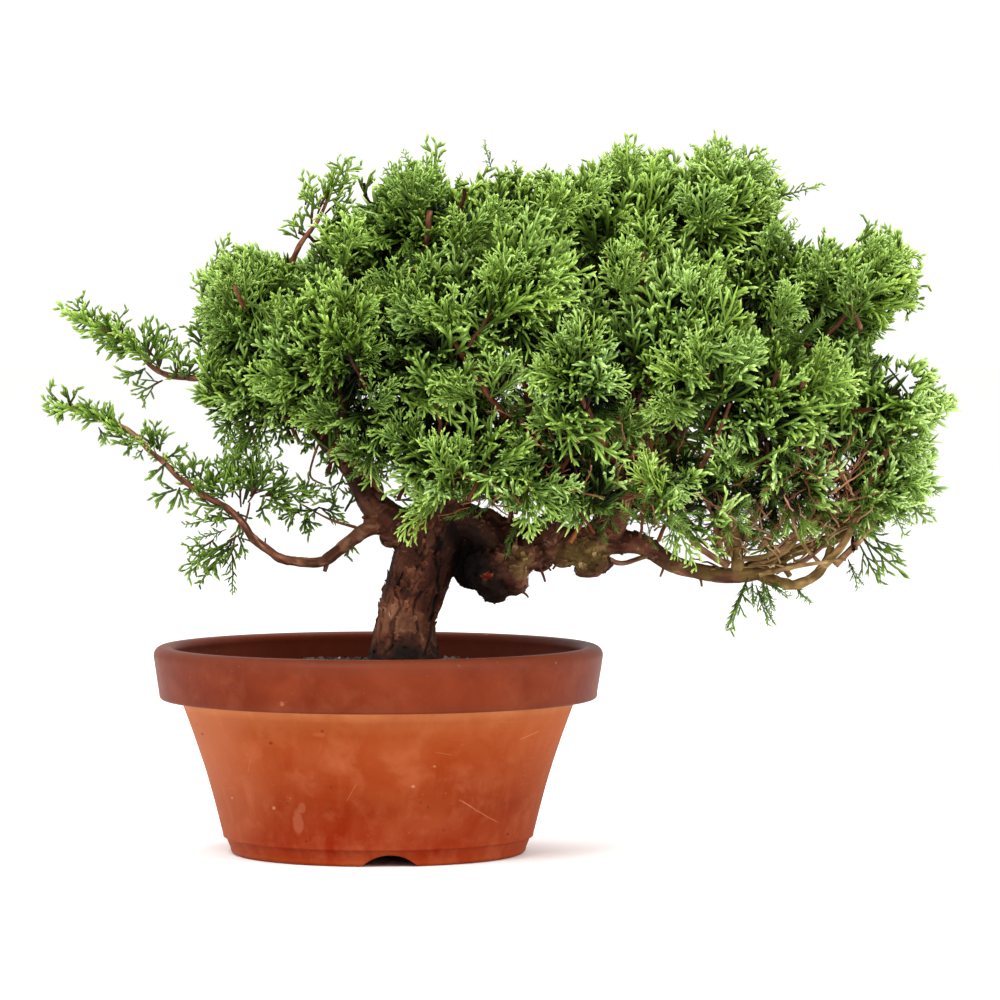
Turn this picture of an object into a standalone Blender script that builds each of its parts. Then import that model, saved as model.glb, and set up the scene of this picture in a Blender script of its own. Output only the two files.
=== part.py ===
"""Juniper bonsai in a round terracotta training pot.

Run with: blender --background --python part.py
Metres, +Z up. The origin is at the middle of the object's footprint box, on
the surface that the pot stands on. Lengths in the tables below are in
millimetres, with the pot's own axis as zero; MM turns them into metres.
"""

import bpy
import bmesh
import math
import numpy as np
from mathutils import Matrix, Vector, noise

# ---------------------------------------------------------------- dimensions
MM = 0.001

POT_RIM_RADIUS = 120.0  # widest point, just under the lip
POT_HEIGHT = 110.5
COLLAR_BOTTOM_Z = 82.5  # flat underside of the thick rim collar
COLLAR_BOTTOM_RADIUS = 116.5
BODY_TOP_RADIUS = 105.0  # body where it meets the collar
BODY_BOTTOM_RADIUS = 82.7  # body just above the foot band
FOOT_BAND_Z = 9.3
FOOT_RADIUS = 77.6
FOOT_INNER_RADIUS = 65.0
FOOT_RECESS_Z = 5.0  # underside of the floor, inside the foot ring
FLOOR_TOP_Z = 14.0
WALL = 8.6
LIP_INNER_RADIUS = 109.2
DRAIN_RADIUS = 13.0
POT_STEPS = 40
SOIL_STEPS = 28

NOTCH_WIDTH = 29.0  # drainage arches cut through the foot ring
NOTCH_HEIGHT = 6.1
NOTCH_ANGLES = (-84.4, 35.6, 155.6)

GAP = 0.35  # clearance kept between touching pieces

MESH_RADIUS = 22.0  # net over the drain hole
MESH_THICKNESS = 1.2
MESH_PITCH = 6.0
MESH_HOLE = 4.2

SOIL_EDGE_Z = 96.0
SOIL_CROWN_Z = 100.5

PAD_FULLNESS = 1.10  # how far pads swell past the half sizes listed below

TUBE_SIDES_RES = 1  # bevel resolution of thin branches
TRUNK_SIDES_RES = 3

# Branch routes: (x, y, z, radius) through the middle of the wood. The first
# point of each limb lies inside the limb that it grew from.
TRUNK = [(13, 0, 80, 14), (13, 0, 90, 18.5), (14, 0, 101, 19.5), (14, 0, 110, 17.6), (15, 0, 124, 15.6),
         (20, 0, 141, 16.4), (26, 0, 161, 17.5), (31, 0, 176, 16), (35, 2, 187, 13.5)]
ROOTS = [
    [(8, 0, 99, 9), (-8, -6, 94, 7), (-20, -11, 86, 4.5), (-27, -14, 80, 2.5)],
    [(18, -4, 99, 9), (28, -14, 94, 7), (35, -24, 87, 4.5), (39, -31, 81, 2.5)],
    [(18, 4, 99, 9), (30, 12, 95, 7), (43, 19, 88, 4.5), (51, 24, 82, 2.5)],
    [(11, 5, 99, 9), (2, 17, 94, 7), (-5, 29, 87, 4.5), (-9, 37, 81, 2.5)],
]
BURLS = [(64, -8, 150, 21, 16.5, 16.5), (84, -8, 158, 13, 12, 12), (109, -10, 161, 13, 11.5, 11)]
LIMBS = {
    "leader": [(34, 2, 185, 12.5), (39, 8, 204, 11), (49, 14, 225, 9.5), (54, 18, 247, 8), (53, 16, 271, 6.5),
               (60, 10, 295, 5), (68, 8, 319, 3.5), (73, 6, 337, 2.2)],
    "left_limb": [(24, 0, 168, 12), (12, -2, 173, 10), (-5, -6, 186, 8), (-15, -10, 205, 6.5), (-25, -14, 218, 5),
                  (-36, -16, 234, 4), (-49, -18, 255, 3), (-61, -18, 274, 2.0)],
    "arch": [(29, 0, 178, 10), (46, -4, 178, 9), (57, -7, 171, 8.5), (63, -8, 160, 8.5), (65, -8, 150, 8)],
    "burl_limb": [(66, -8, 151, 9), (82, -8, 158, 9), (97, -9, 162, 8.5), (112, -10, 162, 8), (128, -10, 168, 6)],
    "right_limb": [(119, -10, 166, 7), (135, -11, 166, 6), (143, -12, 162, 5.5), (155, -14, 152, 5),
                   (168, -16, 148, 4.8), (183, -17, 146, 4.4), (194, -18, 147, 4), (205, -18, 150, 3.6),
                   (216, -18, 155, 3)],
    "right_lower": [(203, -18, 149, 3.2), (213, -21, 145, 3.0), (222, -23, 144, 2.8), (232, -25, 149, 2.6),
                    (237, -25, 157, 2.4), (241, -24, 165, 2.0)],
    "right_outer": [(188, -17, 148, 3.6), (198, -12, 153, 3.6), (211, -9, 157, 3.5), (223, -7, 161, 3.4),
                    (234, -6, 164, 3.3), (244, -6, 169, 3.2), (251, -6, 177, 3.0), (252, -6, 190, 2.8),
                    (256, -6, 204, 2.4), (266, -6, 216, 2.0), (278, -6, 225, 1.7), (289, -6, 232, 1.4)],
    "right_upright": [(191, -17, 148, 3.4), (190, -22, 165, 3.5), (185, -26, 185, 3.3), (181, -30, 202, 3.0),
                      (179, -34, 219, 2.6), (177, -40, 237, 2.0)],
    "lower_left": [(7, -4, 176, 5), (-5, -10, 173, 4), (-18, -16, 164, 3.2), (-28, -20, 157, 2.8),
                   (-42, -24, 157, 2.5), (-54, -27, 160, 2.4), (-65, -30, 168, 2.2), (-71, -32, 178, 2.0),
                   (-78, -34, 185, 1.8), (-89, -36, 191, 1.7), (-102, -38, 200, 1.6), (-111, -38, 209, 1.5),
                   (-122, -38, 218, 1.4), (-133, -36, 227, 1.3)],
    "upper_left_twig": [(-49, -18, 255, 2.8), (-69, -19, 254, 2.3), (-89, -20, 253, 1.9), (-101, -22, 253, 1.7),
                        (-111, -24, 255, 1.6), (-120, -25, 260, 1.4), (-127, -26, 267, 1.3)],
    "left_high": [(49, 14, 224, 7), (33, 20, 244, 5.5), (16, 18, 268, 4.5), (-2, 10, 295, 3.6), (-18, 2, 319, 2.6),
                  (-26, -2, 335, 1.8)],
    "crown_left": [(53, 18, 249, 5.5), (41, 6, 276, 4.2), (28, -6, 300, 3.2), (18, -10, 322, 2.2)],
    "crown_right": [(54, 18, 244, 7), (76, 12, 260, 5.5), (98, 4, 284, 4.5), (114, 0, 308, 3.5), (121, -2, 327, 2.2)],
    "right_high": [(110, -9, 162, 8), (130, 6, 185, 6.5), (148, 16, 209, 5.5), (167, 20, 236, 4.8),
                   (185, 16, 267, 4), (194, 8, 300, 3), (191, 4, 327, 2)],
    "right_shoulder": [(172, 20, 242, 4.4), (196, 16, 260, 3.8), (221, 6, 279, 3.2), (245, 0, 297, 2.4),
                       (261, -4, 308, 1.6)],
    "back_left": [(45, 14, 217, 6.5), (30, 42, 238, 5), (13, 66, 259, 3.8), (-5, 84, 278, 2.4)],
    "back_mid": [(52, 18, 239, 6), (60, 50, 262, 4.6), (72, 76, 289, 3.4), (81, 88, 311, 2.2)],
    "back_right": [(144, 13, 204, 5), (162, 46, 227, 4.2), (183, 70, 254, 3.4), (203, 86, 278, 2.2)],
    "back_low": [(114, -6, 166, 6), (129, 34, 187, 4.6), (141, 62, 206, 3.4), (157, 84, 223, 2.2)],
    "back_outer": [(196, 16, 260, 3.6), (214, 36, 256, 3.0), (232, 54, 254, 2.2)],
    "front_left": [(-15, -10, 205, 5), (-15, -34, 221, 4), (-18, -54, 240, 3), (-22, -66, 256, 2)],
    "front_mid_left": [(39, 6, 204, 6), (41, -22, 221, 4.8), (45, -46, 240, 3.8), (40, -62, 263, 3), (38, -72, 279, 2)],
    "front_mid": [(89, -8, 163, 6), (95, -28, 187, 4.6), (90, -46, 210, 3.8), (81, -62, 234, 2.8), (76, -72, 262, 2)],
    "front_right": [(124, -10, 168, 5.5), (131, -34, 190, 4.2), (126, -52, 207, 3.6), (116, -64, 227, 3),
                    (108, -72, 246, 2)],
    "front_far_right": [(167, 20, 235, 4.2), (171, -16, 252, 3.6), (170, -44, 266, 2.8), (164, -62, 280, 2)],
}

# Foliage of each branch: centre, half sizes, and tilt in degrees about the
# line of sight through the pot from the front.
PADS = {
    "foliage_left_dome": ((-71, -12, 293), (32, 44, 34), 0),
    "foliage_left_lower": ((-60, -24, 242), (38, 44, 26), 0),
    "foliage_left_upper": ((-26, 0, 335), (30, 44, 34), 0),
    "foliage_crown_left": ((20, -8, 340), (31, 50, 35), 0),
    "foliage_crown_mid": ((68, -4, 338), (31, 52, 34), 0),
    "foliage_crown_right": ((121, -4, 344), (32, 50, 36), 0),
    "foliage_right_crown": ((177, 0, 346), (35, 50, 36), 0),
    "foliage_right_shoulder": ((223, 0, 311), (31, 48, 35), 0),
    "foliage_right_tip": ((264, -4, 310), (29, 40, 27), 0),
    "foliage_right_mid": ((273, -4, 250), (38, 46, 29), 0),
    "foliage_right_low": ((268, -6, 191), (34, 40, 31), 0),
    "foliage_front_left": ((-22, -62, 271), (34, 38, 34), 0),
    "foliage_front_mid_left": ((30, -72, 278), (31, 38, 36), 0),
    "foliage_front_mid": ((74, -76, 296), (27, 38, 36), 0),
    "foliage_front_right": ((110, -74, 258), (30, 38, 34), 0),
    "foliage_front_far_right": ((160, -62, 280), (34, 40, 38), 0),
    "foliage_right_front": ((204, -50, 243), (34, 38, 34), 0),
    "foliage_low_left": ((6, -44, 228), (36, 36, 26), 0),
    "foliage_low_mid": ((54, -54, 212), (35, 34, 30), 0),
    "foliage_low_right": ((108, -48, 198), (32, 36, 28), 0),
    "foliage_under_right": ((161, -42, 195), (35, 36, 30), 0),
    "foliage_right_inner": ((214, -26, 196), (29, 36, 32), 0),
    "foliage_back_left": ((-42, 66, 282), (46, 40, 46), 0),
    "foliage_back_mid_left": ((28, 82, 296), (42, 42, 52), 0),
    "foliage_back_mid": ((98, 84, 300), (42, 42, 52), 0),
    "foliage_back_right": ((172, 80, 290), (44, 42, 52), 0),
    "foliage_back_low": ((118, 78, 216), (52, 38, 28), 0),
    "foliage_back_outer": ((240, 56, 256), (38, 40, 46), 0),
    "foliage_left_tip": ((-139, -36, 224), (46, 20, 12), 26),
    "foliage_left_hanging": ((-78, -34, 190), (30, 28, 38), 0),
    "foliage_upper_left_twig": ((-140, -25, 275), (37, 19, 12), 24),
}

COLOURS = {
    "pot": ((0.48, 0.13, 0.045), 0.55),
    "drain_mesh": ((0.03, 0.05, 0.04), 0.6),
    "soil": ((0.07, 0.035, 0.022), 0.95),
    "trunk_and_branches": ((0.11, 0.045, 0.028), 0.85),
    "foliage": ((0.10, 0.24, 0.035), 0.6),
}

# ---------------------------------------------------------------- start clean
for old in list(bpy.data.objects):
    bpy.data.objects.remove(old, do_unlink=True)

parts = bpy.data.collections.new("juniper_bonsai")
cutters = bpy.data.collections.new("cutters")
for collection in (parts, cutters):
    bpy.context.scene.collection.children.link(collection)


def material(name, key=None):
    colour, rough = COLOURS[key or name]
    mat = bpy.data.materials.new(name)
    mat.use_nodes = True
    shader = mat.node_tree.nodes["Principled BSDF"]
    shader.inputs["Base Color"].default_value = (*colour, 1)
    shader.inputs["Roughness"].default_value = rough
    shader.inputs["Metallic"].default_value = 0.0
    mat.diffuse_color = (*colour, 1)
    return mat


def new_object(name, data, collection=parts):
    obj = bpy.data.objects.new(name, data)
    collection.objects.link(obj)
    return obj


def evaluated_mesh(obj):
    bpy.context.view_layer.update()
    depsgraph = bpy.context.evaluated_depsgraph_get()
    return bpy.data.meshes.new_from_object(obj.evaluated_get(depsgraph), depsgraph=depsgraph)


def weld(mesh, distance=1e-6):
    bm = bmesh.new()
    bm.from_mesh(mesh)
    bmesh.ops.remove_doubles(bm, verts=bm.verts, dist=distance)
    bmesh.ops.recalc_face_normals(bm, faces=bm.faces)
    bm.to_mesh(mesh)
    bm.free()


def solid_from(obj, name, collection=parts):
    """A curve or modified object as one welded mesh object; the source goes."""
    mesh = evaluated_mesh(obj)
    weld(mesh)
    place = obj.matrix_world.copy()
    bpy.data.objects.remove(obj, do_unlink=True)
    solid = new_object(name, mesh, collection)
    solid.matrix_world = place
    return solid


def boolean(obj, other, operation, remove=True):
    mod = obj.modifiers.new(operation.lower(), "BOOLEAN")
    mod.operation = operation
    mod.solver = "EXACT"
    mod.object = other
    result = evaluated_mesh(obj)
    obj.modifiers.remove(mod)
    old = obj.data
    obj.data = result
    bpy.data.meshes.remove(old)
    if remove:
        bpy.data.objects.remove(other, do_unlink=True)


def largest_body(mesh):
    """Drops crumbs that a cut leaves loose from the main body."""
    bm = bmesh.new()
    bm.from_mesh(mesh)
    seen, bodies = set(), []
    for vert in bm.verts:
        if vert in seen:
            continue
        stack, body = [vert], []
        seen.add(vert)
        while stack:
            v = stack.pop()
            body.append(v)
            for e in v.link_edges:
                w = e.other_vert(v)
                if w not in seen:
                    seen.add(w)
                    stack.append(w)
        bodies.append(body)
    bodies.sort(key=len, reverse=True)
    for body in bodies[1:]:
        bmesh.ops.delete(bm, geom=body, context="VERTS")
    bm.to_mesh(mesh)
    bm.free()


def tidy(mesh):
    """Triangles with no slivers shorter than 20 micrometres."""
    bm = bmesh.new()
    bm.from_mesh(mesh)
    bmesh.ops.remove_doubles(bm, verts=bm.verts, dist=2e-5)
    bmesh.ops.dissolve_degenerate(bm, edges=bm.edges, dist=1e-5)
    bmesh.ops.triangulate(bm, faces=bm.faces)
    bm.to_mesh(mesh)
    bm.free()


def smooth(obj, angle=50):
    obj.data.shade_smooth()
    obj.data.set_sharp_from_angle(angle=math.radians(angle))


# ---------------------------------------------------------------- turned pot
def arc(cx, cz, r, start, end, steps):
    """Points on a circle in the profile plane, angles in degrees."""
    return [
        (cx + r * math.cos(math.radians(a)), cz + r * math.sin(math.radians(a)))
        for a in np.linspace(start, end, steps)
    ]


def turned(name, profile, closed, steps=POT_STEPS):
    """A profile of (radius, height) in millimetres, turned about the axis."""
    mesh = bpy.data.meshes.new(name)
    bm = bmesh.new()
    verts = [bm.verts.new((r * MM, 0, z * MM)) for r, z in profile]
    for a, b in zip(verts, verts[1:]):
        bm.edges.new((a, b))
    if closed:
        bm.edges.new((verts[-1], verts[0]))
    bm.to_mesh(mesh)
    bm.free()
    obj = new_object(name, mesh)
    screw = obj.modifiers.new("turn", "SCREW")
    screw.steps = screw.render_steps = steps
    screw.use_merge_vertices = True
    screw.merge_threshold = 0.00005
    screw.use_smooth_shade = True
    return obj


def pot_profile():
    lip = arc(POT_RIM_RADIUS - 5.0, POT_HEIGHT - 5.0, 5.0, 75, -10, 4)
    outside = [(p[0], p[1]) for p in lip]
    outside += [
        (POT_RIM_RADIUS - 0.9, 99.0),
        (COLLAR_BOTTOM_RADIUS + 0.6, COLLAR_BOTTOM_Z + 4),
        (COLLAR_BOTTOM_RADIUS, COLLAR_BOTTOM_Z + 1.3),
        (COLLAR_BOTTOM_RADIUS - 1.3, COLLAR_BOTTOM_Z),
        (BODY_TOP_RADIUS + 1.0, COLLAR_BOTTOM_Z),
        (BODY_TOP_RADIUS, COLLAR_BOTTOM_Z - 3.5),
    ]
    # The body is very slightly hollow-sided under the collar.
    for t in (0.15, 0.45, 0.75):
        z = COLLAR_BOTTOM_Z - 3.5 + (FOOT_BAND_Z - COLLAR_BOTTOM_Z + 3.5) * t
        r = BODY_TOP_RADIUS + (BODY_BOTTOM_RADIUS - BODY_TOP_RADIUS) * t
        outside.append((r - 1.4 * math.sin(math.pi * t), z))
    outside += [
        (BODY_BOTTOM_RADIUS, FOOT_BAND_Z + 0.3),
        (BODY_BOTTOM_RADIUS - 1.4, FOOT_BAND_Z - 0.6),
        (FOOT_RADIUS + 1.2, 2.6),
        (FOOT_RADIUS - 0.4, 0.8),
        (FOOT_RADIUS - 2.2, 0.0),
    ]
    underside = [
        (FOOT_INNER_RADIUS + 1.0, 0.0),
        (FOOT_INNER_RADIUS, 1.0),
        (FOOT_INNER_RADIUS - 1.5, FOOT_RECESS_Z),
        (DRAIN_RADIUS, FOOT_RECESS_Z),
    ]
    inside = [
        (DRAIN_RADIUS, FLOOR_TOP_Z),
        (BODY_BOTTOM_RADIUS - WALL - 5, FLOOR_TOP_Z),
        (BODY_BOTTOM_RADIUS - WALL + 1, FLOOR_TOP_Z + 5),
        (BODY_TOP_RADIUS - WALL - 1, COLLAR_BOTTOM_Z - 4),
        (LIP_INNER_RADIUS - 1.8, COLLAR_BOTTOM_Z + 10),
        (LIP_INNER_RADIUS, POT_HEIGHT - 5.5),
        (LIP_INNER_RADIUS + 1.8, POT_HEIGHT - 1.4),
        (LIP_INNER_RADIUS + 4.2, POT_HEIGHT - 0.1),
    ]
    return outside + underside + inside


def cylinder_cutter(name, radius, depth, matrix):
    bm = bmesh.new()
    bmesh.ops.create_cone(bm, cap_ends=True, segments=40, radius1=radius, radius2=radius, depth=depth)
    mesh = bpy.data.meshes.new(name)
    bm.to_mesh(mesh)
    bm.free()
    obj = new_object(name, mesh, cutters)
    obj.matrix_world = matrix
    obj.hide_render = True
    obj.display_type = "WIRE"
    return obj


pot = turned("pot", pot_profile(), closed=True)
notch_radius = (NOTCH_WIDTH**2 / 4 + NOTCH_HEIGHT**2) / (2 * NOTCH_HEIGHT)
for number, angle in enumerate(NOTCH_ANGLES):
    turn = Matrix.Rotation(math.radians(angle), 4, "Z")
    lay = Matrix.Rotation(math.radians(90), 4, "Y")
    centre = Matrix.Translation((72 * MM, 0, (NOTCH_HEIGHT - notch_radius) * MM))
    cut = cylinder_cutter(f"foot_notch_{number + 1}", notch_radius * MM, 30 * MM, turn @ centre @ lay)
    mod = pot.modifiers.new(cut.name, "BOOLEAN")
    mod.operation = "DIFFERENCE"
    mod.solver = "EXACT"
    mod.object = cut
pot.data.materials.append(material("pot"))


# ---------------------------------------------------------------- drain net
def box_mesh(bm, x, y, z, sx, sy, sz):
    matrix = Matrix.Translation((x, y, z)) @ Matrix.Diagonal((sx, sy, sz, 1))
    bmesh.ops.create_cube(bm, size=1, matrix=matrix)


net_bottom = FLOOR_TOP_Z + GAP
bm = bmesh.new()
bmesh.ops.create_cone(
    bm, cap_ends=True, segments=32, radius1=MESH_RADIUS * MM, radius2=MESH_RADIUS * MM, depth=MESH_THICKNESS * MM
)
net_mesh = bpy.data.meshes.new("drain_mesh")
bm.to_mesh(net_mesh)
bm.free()
net = new_object("drain_mesh", net_mesh)
net.location = (0, 0, (net_bottom + MESH_THICKNESS / 2) * MM)
bm = bmesh.new()
reach = 2
for i in range(-reach, reach + 1):
    for j in range(-reach, reach + 1):
        if math.hypot(i, j) * MESH_PITCH + MESH_HOLE * 0.75 < MESH_RADIUS - 1.5:
            box_mesh(bm, i * MESH_PITCH * MM, j * MESH_PITCH * MM, 0, MESH_HOLE * MM, MESH_HOLE * MM, 4 * MM)
holes_mesh = bpy.data.meshes.new("net_holes")
bm.to_mesh(holes_mesh)
bm.free()
net_holes = new_object("net_holes", holes_mesh, cutters)
net_holes.location = net.location
net_holes.hide_render = True
net_holes.display_type = "WIRE"
mod = net.modifiers.new("net_holes", "BOOLEAN")
mod.operation = "DIFFERENCE"
mod.solver = "EXACT"
mod.object = net_holes
net.data.materials.append(material("drain_mesh"))


# ---------------------------------------------------------------- wood
def catmull(points, per_span):
    """A smooth curve through the given points, with their radii."""
    pts = [Vector(p[:3]) for p in points]
    radii = [p[3] for p in points]
    pts = [2 * pts[0] - pts[1]] + pts + [2 * pts[-1] - pts[-2]]
    out = []
    for i in range(len(radii) - 1):
        a, b, c, d = pts[i : i + 4]
        for k in range(per_span):
            t = k / per_span
            p = 0.5 * (2 * b + (c - a) * t + (2 * a - 5 * b + 4 * c - d) * t**2 + (3 * b - a - 3 * c + d) * t**3)
            out.append((p, radii[i] + (radii[i + 1] - radii[i]) * t))
    out.append((pts[-2], radii[-1]))
    return out


def tube(name, points, res=TUBE_SIDES_RES, grow=0.0, collection=parts):
    """A tapering branch as a closed mesh; grow widens and lengthens it."""
    ends = [Vector(p[:3]) for p in points]
    span = sum((b - a).length for a, b in zip(ends, ends[1:])) / (len(points) - 1)
    path = catmull(points, 2 if span > 19 else 1)
    if grow:
        for end, inner in ((0, 1), (-1, -2)):
            tip, before = path[end][0], path[inner][0]
            path[end] = (tip + (tip - before).normalized() * grow, path[end][1])
    curve = bpy.data.curves.new(name, "CURVE")
    curve.dimensions = "3D"
    curve.bevel_depth = MM
    curve.bevel_resolution = res
    curve.use_fill_caps = True
    curve.twist_mode = "MINIMUM"
    spline = curve.splines.new("POLY")
    spline.points.add(len(path) - 1)
    for point, (p, r) in zip(spline.points, path):
        point.co = (p.x * MM, p.y * MM, p.z * MM, 1)
        point.radius = r + grow
    return solid_from(new_object(name, curve, collection), name, collection)


def blob(name, centre, radii, segments=12, rings=8, lump=0.0, seed=0.0, tilt=0.0, collection=parts):
    """A rounded lump: a sphere stretched to half sizes, with smooth swellings."""
    bm = bmesh.new()
    bmesh.ops.create_uvsphere(bm, u_segments=segments, v_segments=rings, radius=1.0)
    turn = Matrix.Rotation(math.radians(tilt), 3, "Y")
    for v in bm.verts:
        d = v.co.normalized()
        swell = 1.0 + lump * noise.noise(d * 1.1 + Vector((seed, seed * 0.7, -seed)))
        p = turn @ Vector((d.x * radii[0] * swell, d.y * radii[1] * swell, d.z * radii[2] * swell))
        v.co = (p + Vector(centre)) * MM
    mesh = bpy.data.meshes.new(name)
    bm.to_mesh(mesh)
    bm.free()
    return new_object(name, mesh, collection)


wood = tube("trunk_and_branches", TRUNK, TRUNK_SIDES_RES)
for number, root in enumerate(ROOTS):
    boolean(wood, tube(f"root_{number + 1}", root), "UNION")
for limb, route in LIMBS.items():
    res = 2 if route[0][3] > 9 else TUBE_SIDES_RES
    boolean(wood, tube(limb, route, res), "UNION")
    if limb == "burl_limb":
        for number, (x, y, z, rx, ry, rz) in enumerate(BURLS):
            boolean(wood, blob(f"burl_{number + 1}", (x, y, z), (rx, ry, rz), lump=0.25, seed=number + 2.0), "UNION")
largest_body(wood.data)
tidy(wood.data)
smooth(wood, 60)
wood.data.materials.append(material("trunk_and_branches"))

# ---------------------------------------------------------------- soil
soil_profile = [
    (0.0, SOIL_CROWN_Z),
    (34.0, SOIL_CROWN_Z - 0.3),
    (60.0, SOIL_CROWN_Z - 2.2),
    (84.0, SOIL_EDGE_Z + 0.6),
    (LIP_INNER_RADIUS - 3.0 - GAP, SOIL_EDGE_Z),
    (BODY_TOP_RADIUS - WALL - 1.2 - GAP, COLLAR_BOTTOM_Z - 4),
    (BODY_BOTTOM_RADIUS - WALL + 0.8 - GAP, FLOOR_TOP_Z + 5),
    (BODY_BOTTOM_RADIUS - WALL - 5.2 - GAP, FLOOR_TOP_Z + GAP),
    (MESH_RADIUS + 0.8, FLOOR_TOP_Z + GAP),
    (MESH_RADIUS + 0.5, net_bottom + MESH_THICKNESS + GAP),
    (0.0, net_bottom + MESH_THICKNESS + GAP),
]
soil = turned("soil", soil_profile, closed=False, steps=SOIL_STEPS)
soil = solid_from(soil, "soil")
boolean(soil, tube("trunk_socket", TRUNK[:5], TRUNK_SIDES_RES, grow=GAP), "DIFFERENCE")
for number, root in enumerate(ROOTS):
    boolean(soil, tube(f"root_socket_{number + 1}", root, grow=GAP), "DIFFERENCE")
largest_body(soil.data)
tidy(soil.data)
smooth(soil, 40)
soil.data.materials.append(material("soil"))


# ---------------------------------------------------------------- foliage
def reach_along(name, direction):
    """Half size of a pad along a unit direction."""
    _, radii, tilt = PADS[name]
    d = Matrix.Rotation(math.radians(-tilt), 3, "Y") @ direction
    return 1.0 / math.sqrt(sum((d[i] / radii[i]) ** 2 for i in range(3)))


def split_from_neighbours(name, mesh):
    """Cuts a pad back from each neighbour along a plane between the two."""
    centre = Vector(PADS[name][0])
    bm = bmesh.new()
    bm.from_mesh(mesh)
    for other in PADS:
        if other == name:
            continue
        across = Vector(PADS[other][0]) - centre
        distance = across.length
        along = across.normalized()
        mine, theirs = reach_along(name, along) * 1.25, reach_along(other, along) * 1.25
        spread = max(PADS[name][1]) + max(PADS[other][1])
        if distance > spread * 1.25:
            continue
        share = mine / (mine + theirs)
        point = centre + across * share - along * 0.4
        geom = bm.verts[:] + bm.edges[:] + bm.faces[:]
        bmesh.ops.bisect_plane(
            bm, geom=geom, dist=1e-7, plane_co=point * MM, plane_no=along, clear_outer=True, clear_inner=False
        )
        loose = [e for e in bm.edges if e.is_boundary]
        if loose:
            bmesh.ops.holes_fill(bm, edges=loose, sides=0)
    bmesh.ops.recalc_face_normals(bm, faces=bm.faces)
    bm.to_mesh(mesh)
    bm.free()


def near_box(points, mesh, margin):
    lo = Vector([min(v.co[i] for v in mesh.vertices) for i in range(3)]) / MM
    hi = Vector([max(v.co[i] for v in mesh.vertices) for i in range(3)]) / MM
    return any(
        all(lo[i] - margin - r < p[i] < hi[i] + margin + r for i in range(3)) for p, r in catmull(points, 4)
    )


for number, (name, (centre, radii, tilt)) in enumerate(PADS.items()):
    full = [r * PAD_FULLNESS for r in radii]
    pad = blob(name, centre, full, segments=11, rings=7, lump=0.32, seed=number * 1.37, tilt=tilt)
    split_from_neighbours(name, pad.data)
    for limb, route in [("trunk", TRUNK)] + list(LIMBS.items()):
        if near_box(route, pad.data, 1.0):
            thick = 2 if route[0][3] > 9 else TUBE_SIDES_RES
            if limb == "trunk":
                thick = TRUNK_SIDES_RES
            boolean(pad, tube(f"room_for_{limb}", route, thick, grow=GAP), "DIFFERENCE")
    for index, (x, y, z, rx, ry, rz) in enumerate(BURLS):
        if near_box([(x, y, z, rx), (x + 1, y, z, rx)], pad.data, 1.0):
            room = blob("room_for_burl", (x, y, z), (rx + GAP, ry + GAP, rz + GAP), lump=0.25, seed=index + 2.0)
            boolean(pad, room, "DIFFERENCE")
    largest_body(pad.data)
    tidy(pad.data)
    smooth(pad, 70)
    pad.data.materials.append(material(name, "foliage"))

# ---------------------------------------------------------------- one parent
low, high = Vector((1e9,) * 3), Vector((-1e9,) * 3)
bpy.context.view_layer.update()
depsgraph = bpy.context.evaluated_depsgraph_get()
for obj in parts.objects:
    shown = obj.evaluated_get(depsgraph)
    for v in shown.data.vertices:
        p = obj.matrix_world @ v.co
        low = Vector(map(min, low, p))
        high = Vector(map(max, high, p))
tree = bpy.data.objects.new("juniper_bonsai", None)
parts.objects.link(tree)
for obj in list(parts.objects) + list(cutters.objects):
    if obj is not tree:
        obj.parent = tree
tree.location = (-(low.x + high.x) / 2, -(low.y + high.y) / 2, -low.z)
bpy.context.view_layer.update()
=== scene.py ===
"""Looks of the potted juniper bonsai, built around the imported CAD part.

Lengths in the tables are millimetres from the pot's own axis at the surface
that the pot stands on: x right, y away from the front, z up. world() turns
them into the frame's metres.
"""

import math

import bpy
import numpy as np
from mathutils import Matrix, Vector

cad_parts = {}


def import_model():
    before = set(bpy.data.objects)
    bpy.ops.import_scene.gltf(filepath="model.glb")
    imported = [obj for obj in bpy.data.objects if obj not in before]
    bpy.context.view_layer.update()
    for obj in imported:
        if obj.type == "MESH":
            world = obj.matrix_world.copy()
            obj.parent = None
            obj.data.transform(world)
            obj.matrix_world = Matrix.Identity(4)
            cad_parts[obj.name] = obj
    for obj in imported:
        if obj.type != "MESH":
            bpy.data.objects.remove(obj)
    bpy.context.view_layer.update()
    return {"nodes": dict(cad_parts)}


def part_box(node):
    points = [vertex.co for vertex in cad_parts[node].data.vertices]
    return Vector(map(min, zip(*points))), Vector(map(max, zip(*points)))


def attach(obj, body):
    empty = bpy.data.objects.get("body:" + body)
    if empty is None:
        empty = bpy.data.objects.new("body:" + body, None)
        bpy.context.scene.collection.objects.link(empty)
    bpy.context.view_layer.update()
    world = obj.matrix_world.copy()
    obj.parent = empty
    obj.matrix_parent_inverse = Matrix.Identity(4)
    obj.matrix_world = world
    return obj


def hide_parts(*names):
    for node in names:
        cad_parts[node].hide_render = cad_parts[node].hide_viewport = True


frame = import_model()

low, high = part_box("pot")
AXIS = np.array([(low.x + high.x) / 2, (low.y + high.y) / 2, 0.0])
MM = 0.001


def world(points):
    return np.asarray(points, float) * MM + AXIS


# ------------------------------------------------------------------- noise
def _lattice(ix, iy, iz, seed):
    h = ix.astype(np.uint32) * np.uint32(374761393) + iy.astype(np.uint32) * np.uint32(668265263)
    h = h + iz.astype(np.uint32) * np.uint32(2246822519) + np.uint32((seed * 3266489917) & 0xFFFFFFFF)
    h = (h ^ (h >> np.uint32(13))) * np.uint32(1274126177)
    h = (h ^ (h >> np.uint32(16))) * np.uint32(2654435761)
    h = h ^ (h >> np.uint32(15))
    return h.astype(np.float64) / 4294967295.0


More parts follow.
